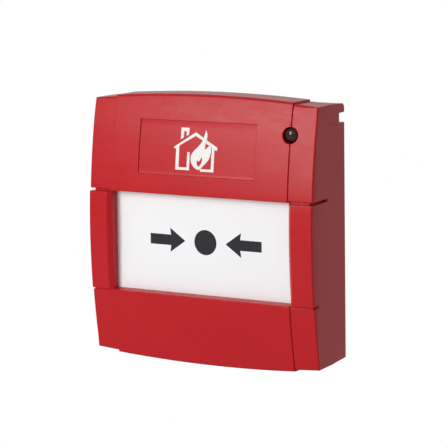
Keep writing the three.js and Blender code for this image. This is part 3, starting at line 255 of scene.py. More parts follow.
def makeHandling():  # broad drift of tone, and smudges that change the gloss
    tree, given, out = startGroup("handling", [("Scale", "NodeSocketFloat", 60.0)],
                                  [("Drift", "NodeSocketFloat"), ("Smudge", "NodeSocketFloat")])
    where = put(tree, "ShaderNodeTexCoord").outputs["Object"]
    drift = put(tree, "ShaderNodeTexNoise", {
        "Vector": where, "Scale": given["Scale"], "Detail": 3.0}).outputs[0]
    stretched = put(tree, "ShaderNodeMapping", {"Vector": where, "Rotation": (0.3, 0.5, 0.7),
                                                "Scale": (1.0, 1.0, 2.6)}).outputs[0]
    smudgeScale = calc(tree, "MULTIPLY", given["Scale"], 3.1)
    smudge = put(tree, "ShaderNodeTexNoise", {"Vector": stretched, "Scale": smudgeScale, "Detail": 5.0,
                                              "Distortion": 0.6}).outputs[0]
    tree.links.new(spread(tree, drift, 0.0, 1.0, 0.3, 0.7), out.inputs["Drift"])
    tree.links.new(spread(tree, smudge, 0.0, 1.0, 0.35, 0.7), out.inputs["Smudge"])
    return tree


def makeEdgeWear():  # finds the edges, rounds them in the light and gives a broken rub along them
    tree, given, out = startGroup("edgeWear", [("Radius", "NodeSocketFloat", 0.0003)],
                                  [("Edge", "NodeSocketFloat"), ("Normal", "NodeSocketVector")])
    rounded = put(tree, "ShaderNodeBevel", {"Radius": given["Radius"]}, samples=4).outputs[0]
    true = put(tree, "ShaderNodeNewGeometry").outputs["True Normal"]
    facing = put(tree, "ShaderNodeVectorMath", {0: rounded, 1: true},
                 operation="DOT_PRODUCT").outputs["Value"]
    edge = spread(tree, facing, 1.0, 0.0, 0.75, 0.98)
    where = put(tree, "ShaderNodeTexCoord").outputs["Object"]
    broken = put(tree, "ShaderNodeTexNoise", {"Vector": where, "Scale": 420.0, "Detail": 4.0}).outputs[0]
    rubbed = calc(tree, "MULTIPLY", edge, spread(tree, broken, 0.0, 1.0, 0.38, 0.62))
    tree.links.new(rubbed, out.inputs["Edge"])
    tree.links.new(rounded, out.inputs["Normal"])
    return tree


groups = {"grain": makeMouldGrain(), "touch": makeHandling(), "edge": makeEdgeWear()}


def useGroup(tree, name, inputs):
    node = tree.nodes.new("ShaderNodeGroup")
    node.node_tree = groups[name]
    for label, value in inputs.items():
        node.inputs[label].default_value = value
    return node.outputs


# Finishes

surface = {
    # moulded plastic
    "grainScale": 2600.0,
    "grainHeight": 0.03,  # mm
    "mouldedTouch": 60.0,
    "mouldedEdge": 0.25,  # mm
    "speckAmount": 0.08,
    "rubAmount": 0.3,
    "rubPolish": 0.1,  # a rubbed edge is this much smoother
    # metal
    "metalTouch": 300.0,
    "metalEdge": 0.12,  # mm
    "drawn": (1.0, 6.0, 1.0),
    "lineScale": 2400.0,
    "lineHeight": 0.02,  # mm
    "lineBump": 0.2,
    "lineRough": 0.12,
}


def startFinish(name):
    material = bpy.data.materials.new(name)
    material.use_nodes = True
    tree = material.node_tree
    tree.nodes.clear()
    shader = put(tree, "ShaderNodeBsdfPrincipled")
    put(tree, "ShaderNodeOutputMaterial", {"Surface": shader.outputs[0]})
    return material, tree, shader


def setShader(shader, values):
    for name, value in values.items():
        shader.inputs[name].default_value = value


def mouldedFinish(name, look, paint=None):
    material, tree, shader = startFinish(name)
    grain = useGroup(tree, "grain", {"Scale": surface["grainScale"]})
    touch = useGroup(tree, "touch", {"Scale": surface["mouldedTouch"]})
    edge = useGroup(tree, "edge", {"Radius": surface["mouldedEdge"] * mm})
    tone = blendColour(tree, touch["Drift"], look["shade"], look["colour"])
    speck = calc(tree, "MULTIPLY", grain["Speck"], look.get("speckAmount", surface["speckAmount"]))
    tone = blendColour(tree, speck, tone, look["shade"])
    if paint:
        tone = paint(tree, tone)
    rub = calc(tree, "MULTIPLY", edge["Edge"], surface["rubAmount"])
    tone = blendColour(tree, rub, tone, look["rub"])
    tree.links.new(tone, shader.inputs["Base Color"])
    rough = spread(tree, touch["Smudge"], look["rough"][0], look["rough"][1])
    rough = calc(tree, "MULTIPLY_ADD", rub, -surface["rubPolish"], rough)
    tree.links.new(rough, shader.inputs["Roughness"])
    bump = put(tree, "ShaderNodeBump", {
        "Strength": look["bump"], "Distance": surface["grainHeight"] * mm,
        "Height": grain["Height"], "Normal": edge["Normal"]})
    tree.links.new(bump.outputs[0], shader.inputs["Normal"])
    setShader(shader, look.get("shader", {}))
    return material


def bandedFinish(name, look, bands):  # rings of paint round a part that lies along X
    def paint(tree, tone):
        where = put(tree, "ShaderNodeTexCoord").outputs["Object"]
        across = put(tree, "ShaderNodeSeparateXYZ", {0: where}).outputs["X"]
        for middle, half, colour in bands:
            on = calc(tree, "COMPARE", across, middle * mm, half * mm)
            tone = blendColour(tree, on, tone, colour)
        return tone
    return mouldedFinish(name, look, paint)


def stripedFinish(name, look, stripes):  # slanting stripes on the face that shows in the window
    def paint(tree, tone):
        where = put(tree, "ShaderNodeTexCoord").outputs["Object"]
        place = put(tree, "ShaderNodeSeparateXYZ", {0: where}).outputs
        slant = calc(tree, "ADD", place["X"], place["Z"])
        turned = calc(tree, "PINGPONG", slant, stripes["pitch"] * mm / 2)
        on = calc(tree, "GREATER_THAN", turned, stripes["pitch"] * mm / 4)
        shown = calc(tree, "LESS_THAN", place["Y"], stripes["front"] * mm)
        return blendColour(tree, calc(tree, "MULTIPLY", on, shown), tone, stripes["colour"])
    return mouldedFinish(name, look, paint)


def metalFinish(name, look):
    material, tree, shader = startFinish(name)
    touch = useGroup(tree, "touch", {"Scale": surface["metalTouch"]})
    edge = useGroup(tree, "edge", {"Radius": surface["metalEdge"] * mm})
    where = put(tree, "ShaderNodeTexCoord").outputs["Object"]
    drawn = put(tree, "ShaderNodeMapping", {"Vector": where, "Scale": surface["drawn"]}).outputs[0]
    lines = put(tree, "ShaderNodeTexNoise", {
        "Vector": drawn, "Scale": surface["lineScale"], "Detail": 3.0}).outputs[0]
    tone = blendColour(tree, touch["Drift"], look["shade"], look["colour"])
    tone = blendColour(tree, edge["Edge"], tone, look["rub"])
    tree.links.new(tone, shader.inputs["Base Color"])
    rough = spread(tree, touch["Smudge"], look["rough"][0], look["rough"][1])
    rough = calc(tree, "MULTIPLY_ADD", lines, surface["lineRough"], rough)
    tree.links.new(rough, shader.inputs["Roughness"])
    bump = put(tree, "ShaderNodeBump", {
        "Strength": surface["lineBump"], "Distance": surface["lineHeight"] * mm,
        "Height": lines, "Normal": edge["Normal"]})
    tree.links.new(bump.outputs[0], shader.inputs["Normal"])
    setShader(shader, {"Metallic": 1.0})
    return material


finishes = {
    "redMoulding": mouldedFinish("redMoulding", {
        "colour": (0.542, 0.013, 0.019), "shade": (0.516, 0.0115, 0.017), "rub": (0.61, 0.03, 0.04),
        "rough": (0.24, 0.3), "bump": 0.12, "shader": {"Specular IOR Level": 0.17}}),
    "whiteElement": mouldedFinish("whiteElement", {
        "colour": (0.945, 0.96, 0.975), "shade": (0.93, 0.945, 0.96), "rub": (0.95, 0.95, 0.95),
        "rough": (0.38, 0.5), "bump": 0.12, "speckAmount": 0.03, "shader": {"Specular IOR Level": 0.4}}),
    "blackMoulding": mouldedFinish("blackMoulding", {
        "colour": (0.026, 0.026, 0.029), "shade": (0.018, 0.018, 0.02), "rub": (0.09, 0.09, 0.095),
        "rough": (0.42, 0.58), "bump": 0.3}),
    "greyMoulding": mouldedFinish("greyMoulding", {
        "colour": (0.155, 0.165, 0.18), "shade": (0.125, 0.135, 0.148), "rub": (0.3, 0.31, 0.33),
        "rough": (0.45, 0.6), "bump": 0.3}),
    "greenMoulding": mouldedFinish("greenMoulding", {
        "colour": (0.02, 0.14, 0.055), "shade": (0.014, 0.105, 0.04), "rub": (0.06, 0.24, 0.11),
        "rough": (0.35, 0.5), "bump": 0.2}),
    "lampPlastic": mouldedFinish("lampPlastic", {
        "colour": (0.5, 0.012, 0.012), "shade": (0.42, 0.008, 0.008), "rub": (0.6, 0.05, 0.05),
        "rough": (0.12, 0.2), "bump": 0.03}),
    "lensPlastic": mouldedFinish("lensPlastic", {
        "colour": (0.03, 0.001, 0.001), "shade": (0.018, 0.0008, 0.0008), "rub": (0.07, 0.004, 0.004),
        "rough": (0.04, 0.06), "bump": 0.0, "shader": {"Specular IOR Level": 0.36}}),
    "boardLacquer": mouldedFinish("boardLacquer", {
        "colour": (0.010, 0.085, 0.030), "shade": (0.008, 0.066, 0.024), "rub": (0.2, 0.18, 0.1),
        "rough": (0.25, 0.36), "bump": 0.1}),
    "charcoalPrint": mouldedFinish("charcoalPrint", {
        "colour": (0.02, 0.021, 0.025), "shade": (0.016, 0.017, 0.02), "rub": (0.08, 0.08, 0.085),
        "rough": (0.4, 0.52), "bump": 0.1, "speckAmount": 0.04, "shader": {"Specular IOR Level": 0.2}}),
    "whitePrint": mouldedFinish("whitePrint", {
        "colour": (0.90, 0.86, 0.83), "shade": (0.86, 0.81, 0.79), "rub": (0.8, 0.6, 0.58),
        "rough": (0.4, 0.52), "bump": 0.1, "speckAmount": 0.04}),
    "canSleeve": mouldedFinish("canSleeve", {
        "colour": (0.022, 0.03, 0.06), "shade": (0.016, 0.022, 0.045), "rub": (0.4, 0.41, 0.43),
        "rough": (0.25, 0.38), "bump": 0.1}),
    "diodeCase": bandedFinish("diodeCase", {
        "colour": (0.02, 0.02, 0.022), "shade": (0.015, 0.015, 0.016), "rub": (0.07, 0.07, 0.075),
        "rough": (0.3, 0.42), "bump": 0.15}, [(-22.6, 0.35, (0.55, 0.55, 0.56))]),
    "resistorCoat": bandedFinish("resistorCoat", {
        "colour": (0.56, 0.38, 0.20), "shade": (0.5, 0.33, 0.17), "rub": (0.66, 0.5, 0.3),
        "rough": (0.3, 0.42), "bump": 0.15},
        [(-26.3, 0.3, (0.03, 0.07, 0.3)), (-25.1, 0.28, (0.12, 0.03, 0.012)),
         (-24.0, 0.28, (0.35, 0.012, 0.012)), (-21.7, 0.3, (0.5, 0.33, 0.06))]),
    "flagMoulding": stripedFinish("flagMoulding", {
        "colour": (0.83, 0.48, 0.012), "shade": (0.77, 0.43, 0.010), "rub": (0.88, 0.6, 0.06),
        "rough": (0.4, 0.52), "bump": 0.2},
        {"colour": (0.02, 0.02, 0.022), "pitch": 7.0, "front": -22.95}),
    "plainSteel": metalFinish("plainSteel", {
        "colour": (0.62, 0.62, 0.61), "shade": (0.52, 0.52, 0.53), "rub": (0.75, 0.75, 0.74),
        "rough": (0.22, 0.38)}),
    "tinnedBrass": metalFinish("tinnedBrass", {
        "colour": (0.78, 0.58, 0.27), "shade": (0.68, 0.48, 0.21), "rub": (0.88, 0.7, 0.4),
        "rough": (0.22, 0.36)}),
}
slotFinish = {
    "red_cover": "redMoulding", "white_panel": "whiteElement", "black_plastic": "blackMoulding",
    "grey_plastic": "greyMoulding", "yellow_plastic": "flagMoulding", "lens": "lensPlastic",
    "lamp": "lampPlastic", "board": "boardLacquer", "terminal_green": "greenMoulding",
    "ceramic": "resistorCoat", "steel": "plainSteel", "brass": "tinnedBrass",
}
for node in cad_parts.values():
    for held in node.material_slots:
        held.material = finishes[slotFinish[held.material.name.split(".")[0]]]
print("finishes ready:", len(finishes))


# Meshes


def keep(name, bm, body, finish, nodes=(), smooth=35.0, more=()):
    mesh = bpy.data.meshes.new(name)
    bm.to_mesh(mesh)
    bm.free()
    mesh.shade_smooth()
    mesh.set_sharp_from_angle(angle=math.radians(smooth))
    piece = bpy.data.objects.new(name, mesh)
    scene.collection.objects.link(piece)
    for each in (finish, *more):
        mesh.materials.append(finishes[each])
    if body:
        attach(piece, body)
    if nodes:
        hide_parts(*nodes)
    return piece


def fixShape(piece, sharpFrom):  # the rounding becomes mesh, so that its creases can be found again
    bpy.context.view_layer.update()
    ready = piece.evaluated_get(bpy.context.evaluated_depsgraph_get())
    shape = bpy.data.meshes.new_from_object(ready)
    rough = piece.data
    piece.modifiers.clear()
    piece.data = shape
    bpy.data.meshes.remove(rough)
    shape.name = piece.name
    shape.shade_smooth()
    shape.set_sharp_from_angle(angle=math.radians(sharpFrom))


def evenShading(piece):
    even = piece.modifiers.new("evenShading", "WEIGHTED_NORMAL")
    even.mode = "FACE_AREA_WITH_ANGLE"
    even.keep_sharp = True


def roundEdges(piece, width, segments=3, limit=30.0, clamp=True):
    rounding = piece.modifiers.new("roundedEdges", "BEVEL")
    if limit:
        rounding.limit_method = "ANGLE"
        rounding.angle_limit = math.radians(limit)
    else:
        rounding.limit_method = "WEIGHT"
    rounding.width = width * mm
    rounding.segments = segments
    rounding.use_clamp_overlap = clamp
    fixShape(piece, 35.0)
    evenShading(piece)


def weld(bm, within=0.001):  # points that lie nearer than this become one, mm
    bmesh.ops.remove_doubles(bm, verts=bm.verts, dist=within * mm)


def closeSkin(bm, within=0.001):
    weld(bm, within)
    bmesh.ops.recalc_face_normals(bm, faces=bm.faces)


def mergedCopy(node):
    bm = bmesh.new()
    bm.from_mesh(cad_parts[node].data)
    weld(bm)
    bmesh.ops.dissolve_limit(bm, angle_limit=math.radians(0.3), verts=bm.verts, edges=bm.edges)
    return bm


def boxOf(node):  # corners of a solid's box, mm
    return [Vector(corner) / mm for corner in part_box(node)]


def middleOf(node):
    low, high = boxOf(node)
    return (low + high) / 2


def bringForward(bm, middle, proud):  # what lies in front of the middle comes out by proud, mm
    front = [vert for vert in bm.verts if vert.co.y < middle * mm]
    bmesh.ops.translate(bm, verts=front, vec=(0, -proud * mm, 0))


# Cover

cover = {
    "sideEdge": 0.6,  # rounding of the long edges where the front meets the sides, mm
    "faceEdge": 0.9,  # along the top and bottom of the front, mm
    "smallEdge": 0.2,
    "sharpFrom": 22.0,  # degrees
    "crown": 0.6,  # the front stands this much further out than the solid's
    "lowerBow": 1.0,  # and this much further out at its lower edge
    "sill": (0.55, 0.4),  # the window's lower edge comes down by the first, and at the front by both
    "jambs": 0.4,  # the window and the right border line lie this much further left
    "lowerWidth": 0.3,  # each side stands this much further out at the lower edge
    "skirtTop": 0.7, "skirtFoot": 0.9,  # the skirt is this much taller above and below
    "notch": 0.5,  # and the notches in the rear edges lie this much higher
    "weldBefore": 0.05, "weldAfter": 0.02,  # the solid's points and the shifted ones, mm
}
longEdges = {  # edges that lie beyond a place on axis 0 or 2 (X or Z) and in front of a depth, mm
    "sideEdge": (0, 43.5, -20.0),
    "faceEdge": (2, 44.5, -19.5),
}
ramps = {  # where each of these shifts begins on the solid, and where it is whole, mm
    "front": (-18.4, -20.6),
    "side": (44.0, 38.95), "window": (29.0, 30.6), "leftPad": (40.0, 12.0),
    "lower": (-10.0, -47.0),
    "aboveSill": (5.0, -21.6), "belowSill": (-40.0, -21.6), "sillFront": (-22.0, -25.0),
    "widening": (20.0, -47.0),
}
halfWidth = 44.0
skirt = {  # places of the skirt on the solid, mm
    "depth": -10.8, "edge": (43.6, 43.8),
    "rear": -4.3, "top": 42.19, "pinHoles": (42.37, 42.55),
    "footDepth": -1.0, "foot": -43.1,
    "stepHalf": 33.3, "stepDepth": (-18.3, -10.1), "stepEdge": (43.9, 44.5),
    "notchSide": 40.0, "notchDepth": -12.0, "notchHeight": (36.9, 40.5),
}
lampBoss = {"x": 34.8, "z": 34.9, "edge": 4.1, "front": -22.265, "end": 37.93, "slope": 0.199}


def shareOf(value, name):
    start, end = ramps[name]
    return min(1.0, max(0.0, (value - start) / (end - start)))


def lies(value, span):
    return span[0] < value < span[1]


def liftOfSkirt(x, y, z):
    up = 1 if z > 0 else -1
    onPinHole = min(abs(z - hole) for hole in skirt["pinHoles"]) < 0.02
    onEdge = y > skirt["depth"] and lies(abs(z), skirt["edge"])
    if onEdge or y > skirt["rear"] and z > skirt["top"] and not onPinHole:
        return cover["skirtTop"] * up
    if y > skirt["footDepth"] and z < skirt["foot"]:
        return -cover["skirtFoot"]
    if abs(x) < skirt["stepHalf"] and lies(y, skirt["stepDepth"]) and lies(abs(z), skirt["stepEdge"]):
        return skirt["stepEdge"][1] * up - z
    if abs(x) > skirt["notchSide"] and y > skirt["notchDepth"] and lies(z, skirt["notchHeight"]):
        return cover["notch"]
    return 0.0


def clearOfPanel(x, y, z):  # the lamp's boss would break through the bowed panel above the lamp
    away = math.hypot(x - lampBoss["x"], z - lampBoss["z"])
    if z > lampBoss["end"] and away > lampBoss["edge"] and abs(y - lampBoss["front"]) < 0.01:
        return lampBoss["front"] + lampBoss["slope"] * (z - lampBoss["end"])
    return y


def settledPlace(x, y, z):  # where a point of the solid lies on the finished housing, mm
    y = clearOfPanel(x, y, z)
    front = shareOf(y, "front")
    jamb = min(shareOf(abs(x), "side"), shareOf(abs(x), "window"))
    if x < 0:
        jamb = min(jamb, shareOf(z, "leftPad"))
    low = shareOf(z, "lower") ** 2
    sill = min(shareOf(z, "aboveSill"), shareOf(z, "belowSill"))
    down = sill * front * (cover["sill"][0] + cover["sill"][1] * shareOf(y, "sillFront"))
    wider = 1 + cover["lowerWidth"] / halfWidth * shareOf(z, "widening")
    newX = x * wider - cover["jambs"] * jamb * front
    newY = y - front * (cover["crown"] + cover["lowerBow"] * low)
    return newX, newY, z - down + liftOfSkirt(x, y, z)


def openToAir(tree, edge):
    middle = (edge.verts[0].co + edge.verts[1].co) / 2
    away = sum((face.normal for face in edge.link_faces), Vector()).normalized()
    return tree.ray_cast(middle + away * 0.02 * mm, away)[0] is None


def weighEdges(bm, width, sharpFrom, shortest=0.0):
    weight = bm.edges.layers.float.new("bevel_weight_edge")
    bm.normal_update()
    tree = BVHTree.FromBMesh(bm)
    chosen = []
    for edge in bm.edges:
        if len(edge.link_faces) != 2 or edge.calc_face_angle_signed(0) < math.radians(sharpFrom):
            continue
        if edge.calc_length() < shortest * mm or not openToAir(tree, edge):
            continue
        edge[weight] = width
        chosen.append(edge)
    return weight, chosen


def weighCoverEdges(bm):
    weight, chosen = weighEdges(bm, cover["smallEdge"], cover["sharpFrom"])
    for edge in chosen:
        ends = [vert.co for vert in edge.verts]
        for rounding, (axis, reach, depth) in longEdges.items():
            outside = min(abs(end[axis]) for end in ends) > reach * mm
            if outside and max(end.y for end in ends) < depth * mm:
                edge[weight] = cover[rounding]


def makeCover():
    bm = mergedCopy("front_cover")
    weld(bm, cover["weldBefore"])
    for vert in bm.verts:
        vert.co = Vector(settledPlace(*(vert.co / mm))) * mm
    weld(bm, cover["weldAfter"])
    weighCoverEdges(bm)
    piece = keep("coverHousing", bm, "cover", "redMoulding", ["front_cover"])
    roundEdges(piece, 1.0, limit=None, clamp=False)


makeCover()
print("cover ready")


# Element and its print

frontRadius = 195.82  # of the bowed front, mm
frontCrown = -26.5


def frontAt(z):
    return frontCrown + frontRadius - math.sqrt(frontRadius ** 2 - z ** 2)


element = {  # mm
    "edge": 0.35,  # rounding of the slab
    "face": -21.9,  # place of its front
    "proud": 0.6,  # the front lies this far in front of the solid's
    "slabMiddle": -20.5,
    "printThickness": 0.03,
    "middle": (0.1, -3.95),  # of the print
    "dotRadius": 4.38,
    # outline of an arrow from its tip: distance from the dot's middle, and height
    "arrow": [(8.03, 0), (14.1, 4.26), (13.75, 1.84), (22.1, 1.84), (22.1, -1.84), (13.75, -1.84),
              (14.1, -4.26)],
}


def flatShape(bm, outline, y, thickness, holes=()):
    curve = bpy.data.curves.new("outline", "CURVE")
    curve.dimensions = "2D"
    curve.fill_mode = "BOTH"
    for loop in (outline, *holes):
        spline = curve.splines.new("POLY")
        spline.points.add(len(loop) - 1)
        spline.use_cyclic_u = True
        for point, (x, z) in zip(spline.points, loop):
            point.co = (x * mm, z * mm, 0, 1)
    curve.extrude = thickness * mm / 2
    holder = bpy.data.objects.new("outline", curve)
    mesh = bpy.data.meshes.new_from_object(holder)
    place = Matrix.Translation((0, (y - thickness / 2) * mm, 0))
    mesh.transform(place @ Matrix.Rotation(math.pi / 2, 4, "X"))
    bm.from_mesh(mesh)
    bpy.data.objects.remove(holder)
    bpy.data.curves.remove(curve)
    bpy.data.meshes.remove(mesh)


def makeElement():
    bm = mergedCopy("operating_element")
    bringForward(bm, element["slabMiddle"], element["proud"])
    slab = keep("elementSlab", bm, "element", "whiteElement", ["operating_element"])
    roundEdges(slab, element["edge"])
    bm = bmesh.new()
    x, z = element["middle"]
    face = element["face"] + element["printThickness"] / 3
    dot = [(x + element["dotRadius"] * math.cos(turn), z + element["dotRadius"] * math.sin(turn))
           for turn in (math.tau * step / 72 for step in range(72))]
    flatShape(bm, dot, face, element["printThickness"])
    for side in (1, -1):
        outline = [(x + side * across, z + up) for across, up in element["arrow"]]
        flatShape(bm, outline, face, element["printThickness"])
    closeSkin(bm)
    keep("elementPrint", bm, "element", "charcoalPrint", smooth=20.0)


makeElement()
print("element ready")


# Symbol on the cover

symbol = {
    "thickness": 0.04, "flameThickness": 0.048,  # mm
    "sink": 0.45,  # of the panel behind the front
    "cuts": (22, 36),  # heights of the cuts that let the print follow the bow of the panel
    "house": [(-10.29, 28.6), (-10.11, 29.13), (-1.93, 34.27), (1.41, 32.43), (1.0, 31.57),
              (-1.9, 33.02), (-8.15, 29.5), (-8.04, 22.24), (-4.92, 22.24), (-4.91, 27.47),
              (-3.86, 27.47), (-3.86, 21.28), (-9.38, 21.28), (-9.4, 28.64), (-10.03, 28.37)],
    "chimney": [(-7.81, 31.58), (-7.81, 35.66), (-4.55, 35.66), (-4.6, 33.33), (-5.6, 32.8),
                (-5.64, 34.43), (-6.58, 34.43), (-6.63, 32.25)],
    "wall": [(2.32, 31.93), (6.97, 29.4), (6.7, 28.31), (5.8, 28.7), (5.8, 21.09), (0.32, 21.09),
             (0.6, 21.98), (4.63, 22.04), (4.7, 29.28), (2.43, 30.59)],
    "flame": [(2.04, 35.16), (2.45, 34.4), (2.66, 33.6), (2.68, 32.8), (2.56, 31.94), (2.3, 31.0),
              (2.1, 30.2), (1.98, 29.4), (1.94, 28.54), (2.7, 29.1), (3.5, 29.8), (4.16, 30.67),
              (4.42, 29.7), (4.47, 28.66), (4.4, 27.5), (4.15, 26.35), (3.85, 25.6), (3.45, 24.96),
              (2.9, 24.3), (2.25, 23.67), (1.2, 22.66), (0.75, 22.1), (0.29, 21.73), (-0.25, 21.6),
              (-0.82, 21.74), (-1.4, 22.0), (-1.97, 22.36), (-2.45, 22.8), (-2.85, 23.3),
              (-3.18, 23.9), (-3.38, 24.5), (-3.47, 25.1), (-3.46, 25.75), (-3.3, 26.5), (-2.97, 27.2),
              (-2.4, 27.9), (-1.71, 28.55), (-1.0, 29.2), (-0.3, 29.91), (0.25, 30.6), (0.7, 31.31),
              (1.05, 32.1), (1.36, 32.97), (1.7, 34.1)],
    "tongue": [(0.88, 25.97), (1.1, 25.45), (1.1, 24.97), (0.98, 24.4), (0.74, 23.86), (0.35, 23.3),
               (-0.15, 22.66), (-0.45, 22.85), (-0.65, 23.11), (-0.86, 23.5), (-0.94, 23.91),
               (-0.96, 24.4), (-0.89, 24.84), (-0.5, 24.6), (-0.2, 24.46), (0.15, 24.7),
               (0.43, 25.07)],
}


def makeSymbol():
    bm = bmesh.new()
    for name in ("house", "chimney", "wall"):
        flatShape(bm, symbol[name], 0, symbol["thickness"])
    flatShape(bm, symbol["flame"], 0, symbol["flameThickness"], [symbol["tongue"]])
    weld(bm)
    for height in range(*symbol["cuts"]):
        bmesh.ops.bisect_plane(bm, geom=bm.verts[:] + bm.edges[:] + bm.faces[:],
                               plane_co=(0, 0, height * mm), plane_no=(0, 0, 1))
    sunk = symbol["sink"] - cover["crown"] + symbol["thickness"] / 4
    for vert in bm.verts:
        vert.co.y += (frontAt(vert.co.z / mm) + sunk) * mm
    bmesh.ops.recalc_face_normals(bm, faces=bm.faces)
    keep("coverSymbol", bm, "cover", "whitePrint", smooth=20.0)


makeSymbol()
print("symbol ready")


# Lamp window

lens = {  # mm
    "x": 34.4, "z": 34.9,
    # distance from the middle and place on the depth axis: the dome, the flange and the hollow back
    "profile": [(0.0, -23.95), (0.34, -23.94), (0.68, -23.9), (1.0, -23.84), (1.3, -23.76),
                (1.58, -23.66), (1.84, -23.54), (2.06, -23.4), (2.26, -23.25), (2.41, -23.09),
                (2.52, -22.91), (2.58, -22.73), (2.6, -22.55), (2.6, -20.5), (3.7, -20.46),
                (3.75, -20.4), (3.75, -19.72), (3.7, -19.66), (2.0, -19.66), (1.9, -19.8),
                (1.2, -20.6), (0.0, -20.9)],
}


def spunBody(profile, at, steps=48, alongX=False):
    bm = bmesh.new()
    last = None
    for radius, along in profile:
        vert = bm.verts.new((radius * mm, along * mm, 0))
        if last:
            bm.edges.new((last, vert))
        last = vert
    bmesh.ops.spin(bm, geom=bm.verts[:] + bm.edges[:], cent=(0, 0, 0), axis=(0, 1, 0),
                   angle=math.tau, steps=steps, use_merge=True)
    weld(bm, 0.002)
    if alongX:
        bmesh.ops.rotate(bm, verts=bm.verts, matrix=Matrix.Rotation(-math.pi / 2, 3, "Z"))
    bmesh.ops.translate(bm, verts=bm.verts, vec=Vector(at) * mm)
    bmesh.ops.recalc_face_normals(bm, faces=bm.faces)
    return bm


window = spunBody(lens["profile"], (lens["x"], 0, lens["z"]))
keep("lampWindow", window, "cover", "lensPlastic", ["lamp_lens"])
print("lamp window ready")


# Screws

screwKinds = {  # depth of the head, radius of the shaft and pitch of the thread, mm
    "panHead": {"headDepth": 1.5, "shaft": 1.3, "pitch": 0.6, "cross": True, "faces": "front"},
    "clipHead": {"headDepth": 1.1, "shaft": 0.8, "pitch": 0.4, "cross": True, "faces": "front"},
    "clampHead": {"headDepth": 1.2, "shaft": 0.8, "pitch": 0.4, "cross": False, "faces": "back"},
}
screwLook = {
    # share of the head's radius, and mm down from its top
    "dome": [(0.0, 0.0), (0.5, 0.03), (0.8, 0.12), (0.95, 0.32), (1.0, 0.6)],
    "rim": 0.15, "under": 0.95,  # the slope under the head's edge: its height, and the share left below
    "root": 0.8,  # of the shaft's radius between the threads
    "tip": (0.7, 0.6), "tipLength": 0.08,
    "crossReach": 0.62, "slotReach": 1.2, "recessHalf": 0.125,  # of the head's radius
    "recessDepth": 0.55,  # of the head's depth
    "toolStart": 0.2,  # the recess is cut from this far in front of the head
}
screwNodes = {
    "panHead": ["board_screw_left", "board_screw_right", "bridge_screw_left", "bridge_screw_right",
                "chassis_screw_left", "chassis_screw_right", "chassis_screw_top"],
    "clipHead": ["clip_screw_left", "clip_screw_right"],
    "clampHead": ["terminal_screw_1", "terminal_screw_2", "terminal_screw_3", "terminal_screw_4"],
}
screwShapes = {}


def asObject(name, bm):
    mesh = bpy.data.meshes.new(name)
    bm.to_mesh(mesh)
    bm.free()
    made = bpy.data.objects.new(name, mesh)
    scene.collection.objects.link(made)
    return made


def cutAway(bm, cutter):
    whole, tool = asObject("whole", bm), asObject("tool", cutter)
    cut = whole.modifiers.new("cut", "BOOLEAN")
    cut.operation = "DIFFERENCE"
    cut.solver = "EXACT"
    cut.object = tool
    bpy.context.view_layer.update()
    left = bmesh.new()
    left.from_mesh(whole.evaluated_get(bpy.context.evaluated_depsgraph_get()).data)
    for made in (whole, tool):
        mesh = made.data
        bpy.data.objects.remove(made)
        bpy.data.meshes.remove(mesh)
    return left


def screwShape(kind, headRadius, length):  # the head's top at the origin, the shaft along +Y
    look = screwKinds[kind]
    depth, shaft, pitch = look["headDepth"], look["shaft"], look["pitch"]
    profile = [(share * headRadius, down) for share, down in screwLook["dome"]]
    profile += [(headRadius, depth - screwLook["rim"]), (screwLook["under"] * headRadius, depth),
                (shaft, depth)]
    along = depth + pitch / 2
    while along < length - pitch:
        profile += [(shaft, along), (screwLook["root"] * shaft, along + pitch / 2)]
        along += pitch
    start, end = screwLook["tip"]
    profile += [(start * shaft, length - screwLook["tipLength"]), (end * shaft, length), (0.0, length)]
    bm = spunBody(profile, (0, 0, 0), 32)
    reach = headRadius * screwLook["crossReach" if look["cross"] else "slotReach"]
    half = headRadius * screwLook["recessHalf"]
    outline = [(-reach, -half), (reach, -half), (reach, half), (-reach, half)]
    if look["cross"]:
        outline = [(-reach, -half), (-half, -half), (-half, -reach), (half, -reach),
                   (half, -half), (reach, -half), (reach, half), (half, half),
                   (half, reach), (-half, reach), (-half, half), (-reach, half)]
    tool = bmesh.new()
    clear = screwLook["toolStart"]
    flatShape(tool, outline, -clear, clear + depth * screwLook["recessDepth"])
    closeSkin(tool)
    return cutAway(bm, tool)


def makeScrew(node, kind):
    low, high = boxOf(node)
    middle = middleOf(node)
    headRadius, length = (high.x - low.x) / 2, high.y - low.y
    key = (kind, round(headRadius, 2), round(length, 2))
    if key not in screwShapes:
        shape = bpy.data.meshes.new("screwShape")
        made = screwShape(kind, headRadius, length)
        made.to_mesh(shape)
        made.free()
        screwShapes[key] = shape
    bm = bmesh.new()
    bm.from_mesh(screwShapes[key])
    top = low.y
    if screwKinds[kind]["faces"] == "back":
        bmesh.ops.rotate(bm, verts=bm.verts, matrix=Matrix.Rotation(math.pi, 3, "Z"))
        top = high.y
    bmesh.ops.translate(bm, verts=bm.verts, vec=Vector((middle.x, top, middle.z)) * mm)
    words = node.split("_")
    name = words[0] + "".join(word.capitalize() for word in words[1:])
    keep(name, bm, "base", "plainSteel", [node], smooth=30.0)


for kind, nodes in screwNodes.items():
    for node in nodes:
        makeScrew(node, kind)
for shape in screwShapes.values():
    bpy.data.meshes.remove(shape)
print("screws ready:", sum(len(nodes) for nodes in screwNodes.values()))


# Springs

springs = {  # diameter of the wire and radius of the coil's middle line, mm
    "flagSpringLeft": {"node": "flag_spring_left", "wire": 0.5, "coil": 1.75, "turns": 5, "flag": True},
    "flagSpringRight": {"node": "flag_spring_right", "wire": 0.5, "coil": 1.75, "turns": 5, "flag": True},
    "resetSpring": {"node": "reset_spring", "wire": 0.45, "coil": 2.42, "turns": 2, "flag": False},
}
flatEnd = 0.4  # of a turn lies flat at each end of a spring


